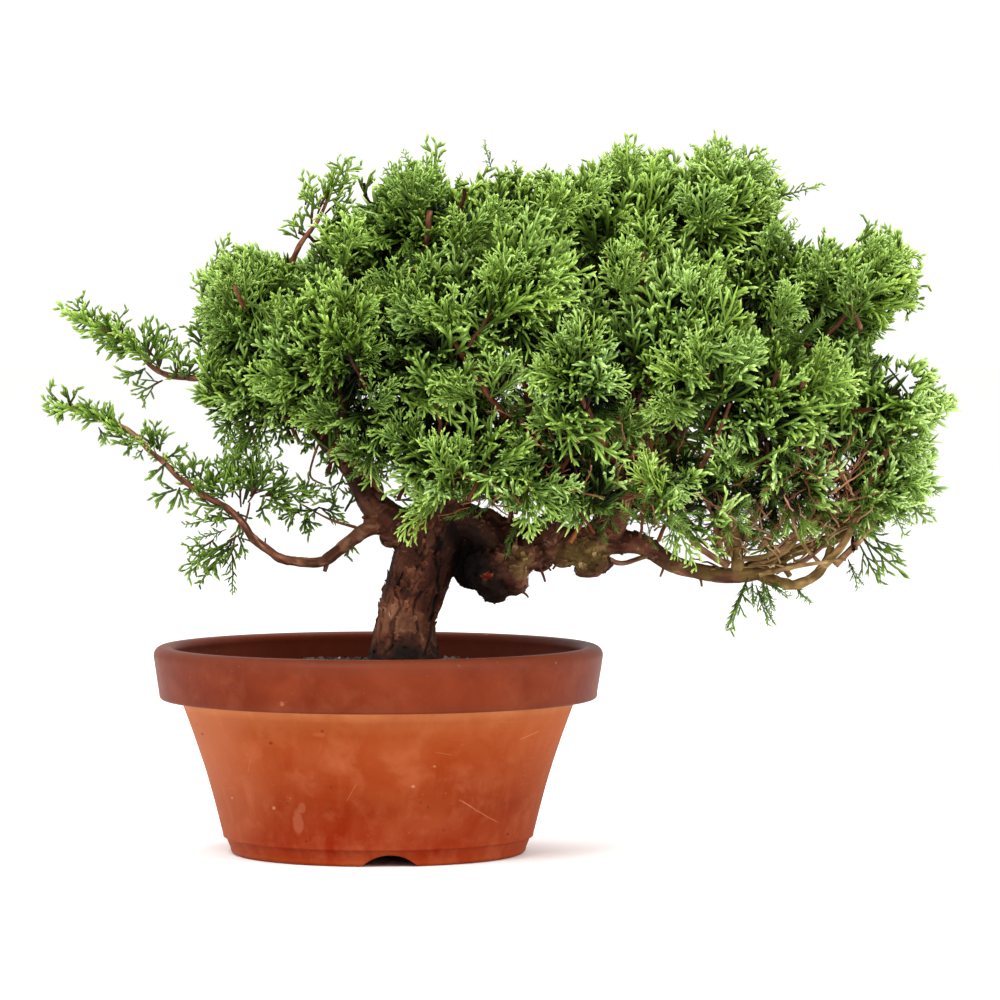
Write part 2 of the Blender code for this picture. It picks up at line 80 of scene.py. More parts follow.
def noise3(p, seed=0):
    """Smooth value noise in -1..1 at points p (N x 3)."""
    p = np.asarray(p, float)
    base = np.floor(p)
    f = p - base
    f = f * f * f * (f * (f * 6 - 15) + 10)
    i = base.astype(np.int64) + 100000
    out = np.zeros(len(p))
    for dx in (0, 1):
        wx = f[:, 0] if dx else 1 - f[:, 0]
        for dy in (0, 1):
            wy = f[:, 1] if dy else 1 - f[:, 1]
            for dz in (0, 1):
                wz = f[:, 2] if dz else 1 - f[:, 2]
                out += wx * wy * wz * _lattice(i[:, 0] + dx, i[:, 1] + dy, i[:, 2] + dz, seed)
    return out * 2 - 1


def fbm(p, octaves=4, seed=0, gain=0.5):
    p = np.asarray(p, float)
    total, weight, norm = 0.0, 1.0, 0.0
    for o in range(octaves):
        total = total + weight * noise3(p * 2.0**o + 17.3 * o, seed + o)
        norm += weight
        weight *= gain
    return total / norm


def unit(v):
    v = np.asarray(v, float)
    return v / np.maximum(np.linalg.norm(v, axis=-1, keepdims=True), 1e-12)


def smoothstep(a, b, x):
    t = np.clip((x - a) / (b - a), 0, 1)
    return t * t * (3 - 2 * t)


# ------------------------------------------------------------------- meshes
def make_mesh(name, verts_mm, quads, uv=None, material=None, smooth=True, tris=None):
    """A mesh object from arrays; uv is one pair for each vertex, or each corner."""
    verts = world(verts_mm)
    quads = np.asarray(quads, np.int32).reshape(-1, 4)
    tris = np.zeros((0, 3), np.int32) if tris is None else np.asarray(tris, np.int32).reshape(-1, 3)
    loops = np.concatenate([quads.ravel(), tris.ravel()])
    starts = np.concatenate([np.arange(len(quads)) * 4, len(quads) * 4 + np.arange(len(tris)) * 3])
    totals = np.concatenate([np.full(len(quads), 4), np.full(len(tris), 3)])
    mesh = bpy.data.meshes.new(name)
    mesh.vertices.add(len(verts))
    mesh.vertices.foreach_set("co", verts.astype(np.float32).ravel())
    mesh.loops.add(len(loops))
    mesh.loops.foreach_set("vertex_index", loops.astype(np.int32))
    mesh.polygons.add(len(starts))
    mesh.polygons.foreach_set("loop_start", starts.astype(np.int32))
    mesh.polygons.foreach_set("loop_total", totals.astype(np.int32))
    mesh.polygons.foreach_set("use_smooth", np.full(len(starts), smooth, bool))
    mesh.update(calc_edges=True)
    if uv is not None:
        layer = mesh.uv_layers.new(name="OFBake")
        uv = np.asarray(uv, np.float32)
        corner = uv if len(uv) == len(loops) and len(uv) != len(verts) else uv[loops]
        layer.data.foreach_set("uv", corner.ravel())
    mesh.validate(clean_customdata=False)
    obj = bpy.data.objects.new(name, mesh)
    bpy.context.scene.collection.objects.link(obj)
    if material is not None:
        mesh.materials.append(material)
    return obj


def frames_along(P, N):
    """Tangent, side and up vectors at every point of curves P (n x K x 3)."""
    T = np.empty_like(P)
    T[:, 1:-1] = P[:, 2:] - P[:, :-2]
    T[:, 0] = P[:, 1] - P[:, 0]
    T[:, -1] = P[:, -1] - P[:, -2]
    T = unit(T)
    S = unit(np.cross(T, N[:, None, :]))
    B = np.cross(S, T)
    return T, S, B


def tubes(P, R, N, U, V, sides=4, v_span=0.012):
    """Tapering tubes with a cap at the tip. P n x K x 3, R n x K, N n x 3, palette U and V n x K."""
    n, K, _ = P.shape
    T, S, B = frames_along(P, N)
    a = np.arange(sides) * 2 * math.pi / sides
    ring = P[:, :, None, :] + R[:, :, None, None] * (
        np.cos(a)[None, None, :, None] * S[:, :, None, :] + np.sin(a)[None, None, :, None] * B[:, :, None, :]
    )
    verts = ring.reshape(-1, 3)
    u = U[:, :, None] + 0.004 * np.cos(a)[None, None, :]
    v = V[:, :, None] + v_span * np.sin(a)[None, None, :]
    uv = np.stack([u, v], -1).reshape(-1, 2)
    base = (np.arange(n) * K * sides)[:, None, None]
    k = (np.arange(K - 1) * sides)[None, :, None]
    j = np.arange(sides)[None, None, :]
    j2 = (np.arange(sides) + 1) % sides
    j2 = j2[None, None, :]
    quads = np.stack([base + k + j, base + k + j2, base + k + sides + j2, base + k + sides + j], -1).reshape(-1, 4)
    last = (np.arange(n) * K + K - 1) * sides
    caps = []
    for c in range(sides // 2 - 1):
        caps.append(np.stack([last, last + 1 + 2 * c, last + 2 + 2 * c, last + (3 + 2 * c) % sides], -1))
    if caps:
        quads = np.concatenate([quads] + caps)
    return verts, quads, uv


def joined(parts):
    """Several (verts, quads, uv) as one."""
    verts, quads, uvs, at = [], [], [], 0
    for v, q, u in parts:
        verts.append(v)
        quads.append(q + at)
        uvs.append(u)
        at += len(v)
    return np.concatenate(verts), np.concatenate(quads), np.concatenate(uvs)


# ---------------------------------------------------------------- materials
def srgb(r, g, b):
    out = []
    for c in (r, g, b):
        c = c / 255.0
        out.append(c / 12.92 if c <= 0.04045 else ((c + 0.055) / 1.055) ** 2.4)
    return (*out, 1.0)


class Nodes:
    """Short hand for building a node material."""

    def __init__(self, name):
        self.mat = bpy.data.materials.new(name)
        self.mat.use_nodes = True
        self.tree = self.mat.node_tree
        self.shader = self.tree.nodes["Principled BSDF"]

    def new(self, kind, **settings):
        node = self.tree.nodes.new(kind)
        for key, value in settings.items():
            setattr(node, key, value)
        return node

    def link(self, a, b):
        self.tree.links.new(a, b)

    def math(self, op, a, b=None, clamp=False):
        node = self.new("ShaderNodeMath", operation=op, use_clamp=clamp)
        for i, x in enumerate((a, b)):
            if x is None:
                continue
            if isinstance(x, (int, float)):
                node.inputs[i].default_value = x
            else:
                self.link(x, node.inputs[i])
        return node.outputs[0]

    def ramp(self, fac, stops, interpolation="LINEAR"):
        node = self.new("ShaderNodeValToRGB")
        ramp = node.color_ramp
        ramp.interpolation = interpolation
        while len(ramp.elements) < len(stops):
            ramp.elements.new(0.5)
        for element, (at, colour) in zip(ramp.elements, stops):
            element.position = at
        for element, (at, colour) in zip(ramp.elements, stops):
            element.position = at
            element.color = colour
        self.link(fac, node.inputs["Fac"])
        return node.outputs["Color"]

    def mix(self, fac, a, b, blend="MIX"):
        node = self.new("ShaderNodeMix", data_type="RGBA", blend_type=blend)
        for key, x in ((0, fac), (6, a), (7, b)):
            socket = node.inputs[key]
            if isinstance(x, (int, float)):
                socket.default_value = x
            elif isinstance(x, tuple):
                socket.default_value = x
            else:
                self.link(x, socket)
        return node.outputs[2]

    def noise(self, vector, scale, detail=4, rough=0.5, distortion=0.0, kind="FBM"):
        node = self.new("ShaderNodeTexNoise")
        node.noise_dimensions = "3D"
        node.inputs["Scale"].default_value = scale
        node.inputs["Detail"].default_value = detail
        node.inputs["Roughness"].default_value = rough
        node.inputs["Distortion"].default_value = distortion
        self.link(vector, node.inputs["Vector"])
        return node.outputs["Fac"]

    def mapped(self, vector, scale=(1, 1, 1), location=(0, 0, 0), rotation=(0, 0, 0)):
        node = self.new("ShaderNodeMapping")
        node.inputs["Scale"].default_value = scale
        node.inputs["Location"].default_value = location
        node.inputs["Rotation"].default_value = rotation
        self.link(vector, node.inputs["Vector"])
        return node.outputs["Vector"]


def palette_material(name):
    """Colour by the OFBake map: U runs from deep shade to fresh tip, V from
    blue-green through yellow-green to the bark of stems."""
    m = Nodes(name)
    uv = m.new("ShaderNodeUVMap", uv_map="OFBake").outputs["UV"]
    sep = m.new("ShaderNodeSeparateXYZ")
    m.link(uv, sep.inputs[0])
    u, v = sep.outputs["X"], sep.outputs["Y"]
    cool = m.ramp(u, [(0.0, srgb(9, 14, 2)), (0.15, srgb(24, 37, 5)), (0.35, srgb(56, 80, 22)),
                      (0.55, srgb(87, 114, 50)), (0.75, srgb(122, 154, 78)), (0.9, srgb(156, 189, 114)),
                      (1.0, srgb(186, 215, 146))])
    warm = m.ramp(u, [(0.0, srgb(12, 18, 1)), (0.15, srgb(31, 47, 1)), (0.35, srgb(71, 96, 13)),
                      (0.55, srgb(107, 137, 38)), (0.75, srgb(145, 177, 67)), (0.9, srgb(179, 208, 102)),
                      (1.0, srgb(204, 227, 140))])
    stem = m.ramp(u, [(0.0, srgb(14, 6, 2)), (0.2, srgb(42, 18, 8)), (0.45, srgb(88, 40, 17)),
                      (0.7, srgb(132, 72, 34)), (0.85, srgb(170, 122, 66)), (1.0, srgb(200, 166, 108))])
    green = m.mix(m.math("DIVIDE", v, 0.6, clamp=True), cool, warm)
    is_stem = m.math("MULTIPLY", m.math("SUBTRACT", v, 0.62), 14.0, clamp=True)
    colour = m.mix(is_stem, green, stem)
    m.link(colour, m.shader.inputs["Base Color"])
    m.shader.inputs["Roughness"].default_value = 0.55
    m.shader.inputs["Specular IOR Level"].default_value = 0.15
    return m.mat


FOLIAGE = palette_material("juniper_foliage")


# ------------------------------------------------------------------ foliage
def curved(starts, directions, lengths, K, bend_to, bend, wobble=None):
    """Curves that leave along directions and turn towards bend_to."""
    n = len(starts)
    P = np.empty((n, K, 3))
    P[:, 0] = starts
    step = lengths / (K - 1)
    d = unit(directions)
    for k in range(1, K):
        f = k / (K - 1)
        now = unit(d * (1 - bend * f) + bend_to * (bend * f))
        if wobble is not None:
            now = unit(now + wobble[:, k])
        P[:, k] = P[:, k - 1] + now * step[:, None]
    return P


def turn(v, axis, angle):
    """Vectors v turned about unit axes by angles."""
    c, s = np.cos(angle)[:, None], np.sin(angle)[:, None]
    return v * c + np.cross(axis, v) * s + axis * (np.sum(axis * v, -1, keepdims=True)) * (1 - c)


SHOOT = np.array([0.66, 0.98, 1.04, 0.20])  # radius along a whipcord shoot
MIDDLE = np.array([0.62, 0.86, 0.80, 0.96, 0.90, 0.20])
STUB = np.array([0.62, 1.0, 0.20])
AXIS_SHAPE = np.array([0.66, 0.76, 0.90, 0.84, 0.94, 0.84, 0.86, 0.72, 0.18])


def plume(rng, length=34.0, gap1=4.3, gap2=4.4, angle=41.0, side=0.52, flat=32.0, first=0.12, thick=0.84,
          stem_part=0.12, origin=(0, 0, 0), axis=(0, 0, 1), normal=(0, 1, 0), tip_bright=0.0, stubs=0.34):
    """One spray: an axis with three orders of side shoots. Returns rows for each tube profile."""
    axis, normal = unit(axis), np.asarray(normal, float)
    normal = unit(normal - axis * np.dot(normal, axis))
    KA, KM, KS, KT = len(AXIS_SHAPE), len(MIDDLE), len(SHOOT), len(STUB)
    wob = rng.normal(0, 0.05, (1, KA, 3))
    lean = unit(axis + rng.normal(0, 0.20, 3))
    P0 = curved(np.array([origin], float), axis[None], np.array([length]), KA, lean[None], 0.8, wob)
    rows = {KA: [], KM: [], KS: [], KT: []}

    def pos_on(P, f):
        x = f * (P.shape[0] - 1)
        i = min(int(x), P.shape[0] - 2)
        return P[i] + (P[i + 1] - P[i]) * (x - i), unit(P[i + 1] - P[i])

    t_axis = np.linspace(0.32, 0.64, KA) + tip_bright
    t_axis[-2:] += 0.12
    stem = np.where(np.linspace(0, 1, KA) < stem_part, 0.84, 0.0)
    t_axis = np.where(stem > 0.5, 0.42, t_axis)
    rows[KA].append((P0[0], AXIS_SHAPE * 1.08 * thick, normal, t_axis, stem))
    s, sign = first, rng.choice([-1, 1])
    while s < 0.97:
        here, along = pos_on(P0[0], s)
        tilt = np.radians(rng.normal(0, flat))
        n1 = turn(normal[None], along[None], np.array([tilt]))[0]
        d1 = turn(along[None], n1[None], np.radians([sign * (angle + rng.normal(0, 8))]))[0]
        l1 = (length * side * (1 - s) ** 0.70 + 4.4) * rng.uniform(0.62, 1.15)
        if rng.random() > 0.05:
            P1 = curved(here[None], d1[None], np.array([l1]), KM, along[None], 0.26,
                        rng.normal(0, 0.045, (1, KM, 3)))[0]
            f = np.linspace(0, 1, KM)
            own = rng.normal(0, 0.04)
            t1 = 0.36 + 0.24 * f + 0.26 * f**4 + 0.10 * s + own + tip_bright
            rows[KM].append((P1, MIDDLE * 1.04 * thick * rng.uniform(0.9, 1.08), n1, t1, np.zeros(KM)))
            s2, sign2 = rng.uniform(0.24, 0.42), rng.choice([-1, 1])
            while s2 < 0.92 and l1 > 5.0:
                here2, along2 = pos_on(P1, s2)
                n2 = turn(n1[None], along2[None], np.radians([rng.normal(0, flat * 1.3)]))[0]
                d2 = turn(along2[None], n2[None], np.radians([sign2 * (angle + rng.normal(0, 10))]))[0]
                l2 = min(l1 * 0.50 * (1 - s2) ** 0.5 + 3.4, 11.5) * rng.uniform(0.62, 1.18)
                P2 = curved(here2[None], d2[None], np.array([l2]), KS, along2[None], 0.18)[0]
                f2 = np.linspace(0, 1, KS)
                t2 = 0.42 + 0.20 * f2 + 0.26 * f2**3 + 0.08 * s + 0.06 * s2 + own + rng.normal(0, 0.03) + tip_bright
                rows[KS].append((P2, SHOOT * thick * rng.uniform(0.9, 1.1), n2, t2, np.zeros(KS)))
                if l2 > 3.8:
                    sign3 = rng.choice([-1, 1])
                    for s3 in (0.42, 0.68):
                        if rng.random() > stubs:
                            continue
                        here3, along3 = pos_on(P2, s3 + rng.uniform(-0.08, 0.08))
                        n3 = turn(n2[None], along3[None], np.radians([rng.normal(0, 40)]))[0]
                        d3 = turn(along3[None], n3[None], np.radians([sign3 * (angle + rng.normal(0, 9))]))[0]
                        P3 = curved(here3[None], d3[None], np.array([rng.uniform(2.2, 4.2)]), KT, along3[None], 0.3)[0]
                        f3 = np.linspace(0, 1, KT)
                        t3 = 0.50 + 0.12 * f3 + 0.24 * f3**2 + 0.08 * s + own + rng.normal(0, 0.03) + tip_bright
                        rows[KT].append((P3, STUB * 0.94 * thick * rng.uniform(0.9, 1.1), n3, t3, np.zeros(KT)))
                        sign3 = -sign3
                s2 += gap2 / l1 * rng.uniform(0.8, 1.3)
                sign2 = -sign2
        s += gap1 / length * rng.uniform(0.7, 1.3)
        sign = -sign
    return rows


def needle_plume(rng, length=30.0, needles=52, reach=5.5, origin=(0, 0, 0), axis=(0, 0, 1), tone=0.30, thick=0.36,
                 fade=0.0):
    """Juvenile growth: a thin shoot set all round with short needles."""
    axis = unit(axis)
    KA, KN = len(AXIS_SHAPE), 2
    P0 = curved(np.array([origin], float), axis[None], np.array([length]), KA,
                unit(axis + rng.normal(0, 0.3, 3))[None], 0.8, rng.normal(0, 0.06, (1, KA, 3)))[0]
    rows = {KA: [(P0, np.full(KA, 0.55), np.array([0, 1.0, 0]), np.linspace(0.34, 0.6, KA), np.full(KA, 0.0))], KN: []}
    for k in range(needles):
        f = 0.12 + 0.88 * (k + rng.random()) / needles
        x = f * (KA - 1)
        i = min(int(x), KA - 2)
        here, along = P0[i] + (P0[i + 1] - P0[i]) * (x - i), unit(P0[i + 1] - P0[i])
        side = unit(np.cross(along, rng.normal(0, 1, 3)))
        a = np.radians(rng.normal(52, 12) * (1 - 0.45 * f**4))
        d = along * math.cos(a) + side * math.sin(a)
        l = reach * rng.uniform(0.7, 1.15) * (1 - 0.25 * f**3)
        t = tone + 0.16 * f + rng.normal(0, 0.05)
        rows[KN].append((np.stack([here, here + d * l]), np.array([thick, 0.12]), side, np.array([t, t + 0.16]),
                         np.full(KN, fade)))
    return rows


def stack(rows):
    P = np.array([r[0] for r in rows])
    R = np.array([r[1] for r in rows])
    N = np.array([r[2] for r in rows])
    U = np.array([r[3] for r in rows])
    B = np.array([r[4] for r in rows])
    return P, R, N, U, B


class Variant:
    """A spray or tuft kept as merged arrays, ready to be placed many times."""

    def __init__(self, groups, seed, hue=0.30, heart_shade=1.0):
        rng = np.random.default_rng(seed)
        parts, numbers, count = [], [], 0
        for K in sorted(groups):
            if not groups[K]:
                continue
            P, R, N, U, B = stack(groups[K])
            own = rng.normal(0, 0.05, (len(P), 1))
            V = np.where(B > 0.5, B, hue + own + 0.22 * (U - 0.5))
            sides = 4 if K == len(AXIS_SHAPE) else 3
            parts.append(tubes(P, R, N, U, V, sides=sides))
            numbers.append(np.repeat(np.arange(len(P)) + count, K * sides))
            count += len(P)
        self.verts, self.quads, self.uv = joined(parts)
        self.shoot = np.concatenate(numbers)  # which shoot each vertex belongs to
        self.middles = np.stack([np.bincount(self.shoot, self.verts[:, k]) for k in range(3)], -1)
        self.middles /= np.bincount(self.shoot)[:, None]
        reach = np.percentile(self.verts[:, 2], 97)
        out = np.clip(np.linalg.norm(self.verts * np.array([0.8, 0.8, 1.0]), axis=1) / max(reach, 1.0), 0, 1)
        # Painted shade: shoots deep in the heart of a spray or tuft are darker than those at its outside.
        self.uv[:, 0] *= heart_shade + (1 - heart_shade) * smoothstep(0.22, 0.92, out)
        self.count = len(self.quads)


def merge(groups, more):
    for K, rows in more.items():
        groups.setdefault(K, []).extend(rows)
    return groups


def make_sprays(count, seed, needles=False, hue=0.30, **kw):
    out = []
    for i in range(count):
        rng = np.random.default_rng(seed + i)
        settings = dict(kw)
        settings["length"] = kw.get("length", 40.0) * rng.uniform(0.86, 1.14)
        out.append(Variant((needle_plume if needles else plume)(rng, **settings), seed + i, hue, heart_shade=0.72))
    return out


def make_tufts(count, seed, height=38.0, plumes=6, spread=44.0, needles=False, hue=0.30, **kw):
    """Clumps of sprays: one leads, the others stand off its stem at intervals and shorten upwards."""
    out = []
    K = len(AXIS_SHAPE)
    f = np.linspace(0, 1, K)
    for i in range(count):
        rng = np.random.default_rng(seed + i)
        groups = {}
        turn0 = rng.uniform(0, 2 * math.pi)
        for j in range(plumes):
            s = max(j - 1, 0) / max(plumes - 2, 1)
            polar = np.radians(rng.uniform(0, 8) if j == 0 else spread * rng.uniform(0.78, 1.16))
            az = turn0 + j * 2.4 + rng.normal(0, 0.25)
            d = np.array([math.sin(polar) * math.cos(az), math.sin(polar) * math.sin(az), math.cos(polar)])
            out_of = np.array([-math.sin(az), math.cos(az), 0.0])
            n = turn(unit(np.cross(d, out_of))[None], d[None], np.array([rng.uniform(-0.7, 0.7)]))[0]
            start = np.array([0, 0, rng.uniform(0, 3.0) if j == 0 else height * (0.02 + 0.50 * s + rng.uniform(-0.04, 0.04))])
            L = height * (1.0 if j == 0 else 0.84 - 0.40 * s) * rng.uniform(0.86, 1.12)
            if needles:
                merge(groups, needle_plume(rng, length=L, origin=start, axis=unit(d + [0, 0, 0.15]), **kw))
            else:
                merge(groups, plume(rng, length=L, origin=start, axis=unit(d + [0, 0, 0.15]), normal=n, **kw))
        stem = np.stack([0 * f, 0 * f, -8 + 23 * f], -1) + rng.normal(0, 0.3, (K, 3))
        groups[K].append((stem, np.full(K, 1.1) * (1 - 0.35 * f), np.array([0, 1.0, 0]), 0.62 + 0.25 * f, np.full(K, 0.86)))
        out.append(Variant(groups, seed + i, hue, heart_shade=0.42))
    return out


def spin_matrix(direction, spin, fan=None):
    """Turns local +Z to direction; fan, when given, is where local +Y should point."""
    z = unit(direction)
    if fan is None:
        ref = np.array([0.0, 0.0, 1.0]) if abs(z[2]) < 0.9 else np.array([0.0, 1.0, 0.0])
    else:
        ref = np.asarray(fan, float)
    y = unit(ref - z * np.dot(ref, z))
    x = np.cross(y, z)
    c, s = math.cos(spin), math.sin(spin)
    return np.stack([x * c + y * s, -x * s + y * c, z], -1)


TUFTED = set()
TWIG_ENDS = []  # where a tuft's own stem starts, and which way it points


class Builder:
    """Collects placed variants into one mesh for each node."""

    def __init__(self, name):
        self.name, self.parts = name, []

    def put(self, variant, base, direction, size=1.0, spin=0.0, fan=None, shade=None, hue=0.0, tone=0.0,
            mirror=False, trim=None):
        M = spin_matrix(direction, spin, fan) * size
        if variant in TUFTED:
            TWIG_ENDS.append((np.asarray(base, float) - unit(np.asarray(direction, float)) * 13.0 * size, direction))
        v = variant.verts
        if mirror:
            v = v * np.array([-1, 1, 1])
        P = v @ M.T + np.asarray(base, float)
        uv = variant.uv.copy()
        green = uv[:, 1] < 0.6
        uv[:, 0] += (tone + place_tone(P)) * np.where(green, 1.0, 0.3)
        if shade is not None:
            uv[:, 0] *= shade(P)
        uv[:, 1] = np.where(green, np.clip(uv[:, 1] + hue, 0.015, 0.585), uv[:, 1])
        uv[:, 0] = np.clip(uv[:, 0], 0.012, 0.988)
        q = variant.quads
        if trim is not None:
            C = (variant.middles * (np.array([-1, 1, 1]) if mirror else 1.0)) @ M.T + np.asarray(base, float)
            kept, rim = trim(C)
            # Painted light: near the outline's rim most of the painted shade is taken back.
            lift = 1 + (1 / np.clip(shade(C) if shade is not None else 1.0, 0.2, 1) - 1) * 0.75 * rim
            uv[:, 0] *= np.clip(lift, 1, 4)[variant.shoot]
            stays = kept[variant.shoot]
            q = (np.cumsum(stays) - 1)[q[stays[q[:, 0]]]]
            P, uv = P[stays], uv[stays]
            if not len(q):
                return
        if mirror:
            q = q[:, ::-1]
        self.parts.append((P, q, uv))

    def build(self):
        """One mesh, or several when there are too many faces for one."""
        groups, count = [[]], 0
        for part in self.parts:
            if count + len(part[1]) > 88000:
                groups.append([])
                count = 0
            groups[-1].append(part)
            count += len(part[1])
        out = []
        for i, group in enumerate(groups):
            verts, quads, uv = joined(group)
            out.append(make_mesh(self.name + (f"_{i + 1}" if len(groups) > 1 else ""), verts, quads, uv, FOLIAGE))
        return out


PADS = {
    "foliage_left_dome": ((-71, -12, 293), (32, 44, 34), 0),
    "foliage_left_lower": ((-60, -24, 242), (38, 44, 26), 0),
    "foliage_left_upper": ((-26, 0, 335), (30, 44, 34), 0),
    "foliage_crown_left": ((20, -8, 340), (31, 50, 35), 0),
    "foliage_crown_mid": ((68, -4, 338), (31, 52, 34), 0),
    "foliage_crown_right": ((121, -4, 344), (32, 50, 36), 0),
    "foliage_right_crown": ((177, 0, 346), (35, 50, 36), 0),
    "foliage_right_shoulder": ((223, 0, 311), (31, 48, 35), 0),
    "foliage_right_tip": ((264, -4, 310), (29, 40, 27), 0),
    "foliage_right_mid": ((273, -4, 250), (38, 46, 29), 0),
    "foliage_right_low": ((268, -6, 191), (34, 40, 31), 0),
    "foliage_front_left": ((-22, -62, 271), (34, 38, 34), 0),
    "foliage_front_mid_left": ((30, -72, 278), (31, 38, 36), 0),
    "foliage_front_mid": ((74, -76, 296), (27, 38, 36), 0),
    "foliage_front_right": ((110, -74, 258), (30, 38, 34), 0),
    "foliage_front_far_right": ((160, -62, 280), (34, 40, 38), 0),
    "foliage_right_front": ((204, -50, 243), (34, 38, 34), 0),
    "foliage_low_left": ((6, -44, 228), (36, 36, 26), 0),
    "foliage_low_mid": ((54, -54, 212), (35, 34, 30), 0),
    "foliage_low_right": ((108, -48, 198), (32, 36, 28), 0),
    "foliage_under_right": ((161, -42, 195), (35, 36, 30), 0),
    "foliage_right_inner": ((214, -26, 196), (29, 36, 32), 0),
    "foliage_back_left": ((-42, 66, 282), (46, 40, 46), 0),
    "foliage_back_mid_left": ((28, 82, 296), (42, 42, 52), 0),
    "foliage_back_mid": ((98, 84, 300), (42, 42, 52), 0),
    "foliage_back_right": ((172, 80, 290), (44, 42, 52), 0),
    "foliage_back_low": ((118, 78, 216), (52, 38, 28), 0),
    "foliage_back_outer": ((240, 56, 256), (38, 40, 46), 0),
    "foliage_left_tip": ((-139, -36, 224), (46, 20, 12), 26),
    "foliage_left_hanging": ((-78, -34, 190), (30, 28, 38), 0),
    "foliage_upper_left_twig": ((-140, -25, 275), (37, 19, 12), 24),
}
AIRY = ("foliage_left_tip", "foliage_left_hanging", "foliage_upper_left_twig")
CROWN = np.array([75.0, 0.0, 262.0])  # middle of the whole crown


def ellipsoid_depth(p, name):
    """How deep p lies in a pad's ellipsoid: 1 at its skin, less inside."""
    (c, r, tilt) = PADS[name]
    a = math.radians(-tilt)
    d = np.asarray(p, float) - np.array(c, float)
    x = d[..., 0] * math.cos(a) + d[..., 2] * math.sin(a)
    z = -d[..., 0] * math.sin(a) + d[..., 2] * math.cos(a)
    return np.sqrt((x / r[0]) ** 2 + (d[..., 1] / r[1]) ** 2 + (z / r[2]) ** 2)


SOLID_PADS = [n for n in PADS if n not in AIRY]


def crown_field(p, blend=4.0):
    """Smooth union of the pads: 0 on its skin, positive inside."""
    total = np.zeros(len(p))
    for name in SOLID_PADS:
        total += np.exp(-blend * (ellipsoid_depth(p, name) ** 1.0 - 1.0))
    return np.log(np.maximum(total, 1e-12)) / blend


def crown_normal(p, h=1.5):
    g = np.stack([crown_field(p + h * e) - crown_field(p - h * e) for e in np.eye(3)], -1)
    return -unit(g), np.linalg.norm(g, axis=-1) / (2 * h)


def crown_points(rng, spacing, lift=0.0, rough=6.0):
    """Well-spread points on the crown's skin, which swells and sinks a little."""
    cand = []
    for name in SOLID_PADS:
        c, r, tilt = PADS[name]
        d = unit(rng.normal(0, 1, (900, 3)))
        a = math.radians(tilt)
        q = d * np.array(r)
        x = q[:, 0] * math.cos(a) + q[:, 2] * math.sin(a)
        z = -q[:, 0] * math.sin(a) + q[:, 2] * math.cos(a)
        cand.append(np.stack([x, q[:, 1], z], -1) + np.array(c, float))
    p = np.concatenate(cand)
    for _ in range(5):
        n, slope = crown_normal(p)
        target = crown_field(p)
        p = p + n * np.clip(target / np.maximum(slope, 1e-3), -6, 6)[:, None]
    n, _ = crown_normal(p)
    p = p + n * (lift + rough * noise3(p / 24.0, 77))[:, None]
    order = rng.permutation(len(p))
    p, n = p[order], n[order]
    kept, cells = [], {}
    for i in range(len(p)):
        key = tuple((p[i] // spacing).astype(int))
        near = False
        for dx in (-1, 0, 1):
            for dy in (-1, 0, 1):
                for dz in (-1, 0, 1):
                    for k in cells.get((key[0] + dx, key[1] + dy, key[2] + dz), ()):
                        if np.sum((p[i] - p[k]) ** 2) < spacing * spacing:
                            near = True
                            break
                    if near:
                        break
                if near:
                    break
            if near:
                break
        if not near:
            kept.append(i)
            cells.setdefault(key, []).append(i)
    return p[kept], n[kept]


def nearest_pad(p, names):
    depth = np.stack([ellipsoid_depth(p, n) for n in names], -1)
    return depth.argmin(-1)


def crown_shade(P):
    """Darkens what lies deep inside the crown."""
    f = crown_field(P)
    return 0.20 + 0.80 * smoothstep(0.44, -0.02, f)


# The crown's outline from the front, in millimetres (x, z) on the pot's mid plane.
OUTLINE = np.array([
    (-98.7, 279), (-96.1, 295), (-91.8, 312.1), (-83.3, 321.7), (-73.7, 325.4), (-61.9, 320.6),
    (-51.3, 315.3), (-41.7, 315.3), (-35.3, 315.3), (-27.8, 331.3), (-19.3, 345.1), (-6.5, 345.1),
    (2.1, 355.8), (11.7, 368.6), (21.3, 366.5), (28.7, 363.8), (36.2, 357.9), (44.7, 356.9),
    (53.3, 359), (57.5, 366.5), (61.8, 362.2), (69.3, 363.3), (86.3, 362.2), (94.9, 363.3),
    (103.4, 362.2), (110.3, 363.3), (117.3, 368.6), (124.7, 370.7), (130.1, 380.3), (133.8, 379.3),
    (137.5, 370.7), (147.7, 372.3), (154.6, 375), (161, 371.8), (167.4, 370.7), (173.8, 377.1),
    (180.2, 379.3), (185.5, 373.9), (191.9, 366.5), (198.3, 368.6), (203.7, 373.9), (206.9, 369.7),
    (209, 361.1), (214.3, 354.7), (221.8, 352.6), (219.7, 349.4), (213.3, 347.3), (210.1, 340.3),
    (213.3, 333.4), (220.7, 323.8), (231.4, 322.2), (239.9, 325.9), (248.5, 319.5), (254.9, 321.7),
    (260.2, 331.3), (267.7, 335.5), (275.7, 329.1), (282.6, 322.7), (289, 318.5), (284.7, 308.3),
    (286.9, 295), (282.6, 291.8), (274.6, 295), (273, 287.5), (269.3, 280.1), (262.3, 271),
    (261.3, 265.1), (273, 261.9), (284.7, 260.9), (297.5, 257.7), (301.8, 254.5), (295.4, 247),
    (305, 241.7), (309.3, 239.5), (298.6, 234.2), (291.1, 225.7), (296.5, 213.9), (297.5, 204.3),
    (298.6, 193.7), (291.7, 188.3), (281, 181.9), (270.9, 177.7), (261.3, 167), (251.7, 160.6),
    (244.2, 162.7), (225, 164.3), (193, 158.5), (171.7, 155.3), (145, 168.1), (123.7, 172.3),
    (102.3, 175.5), (86.3, 175.5), (65, 183), (38.3, 191.5), (24.5, 177.7), (9.5, 169.1),
    (3.7, 188.3), (-15, 200.1), (-25.7, 215), (-41.7, 228.3), (-65.7, 228.3), (-81.7, 233.7),
    (-95, 241.7),
], float)
EYE = np.array([65.0, -3000.0, 311.0])


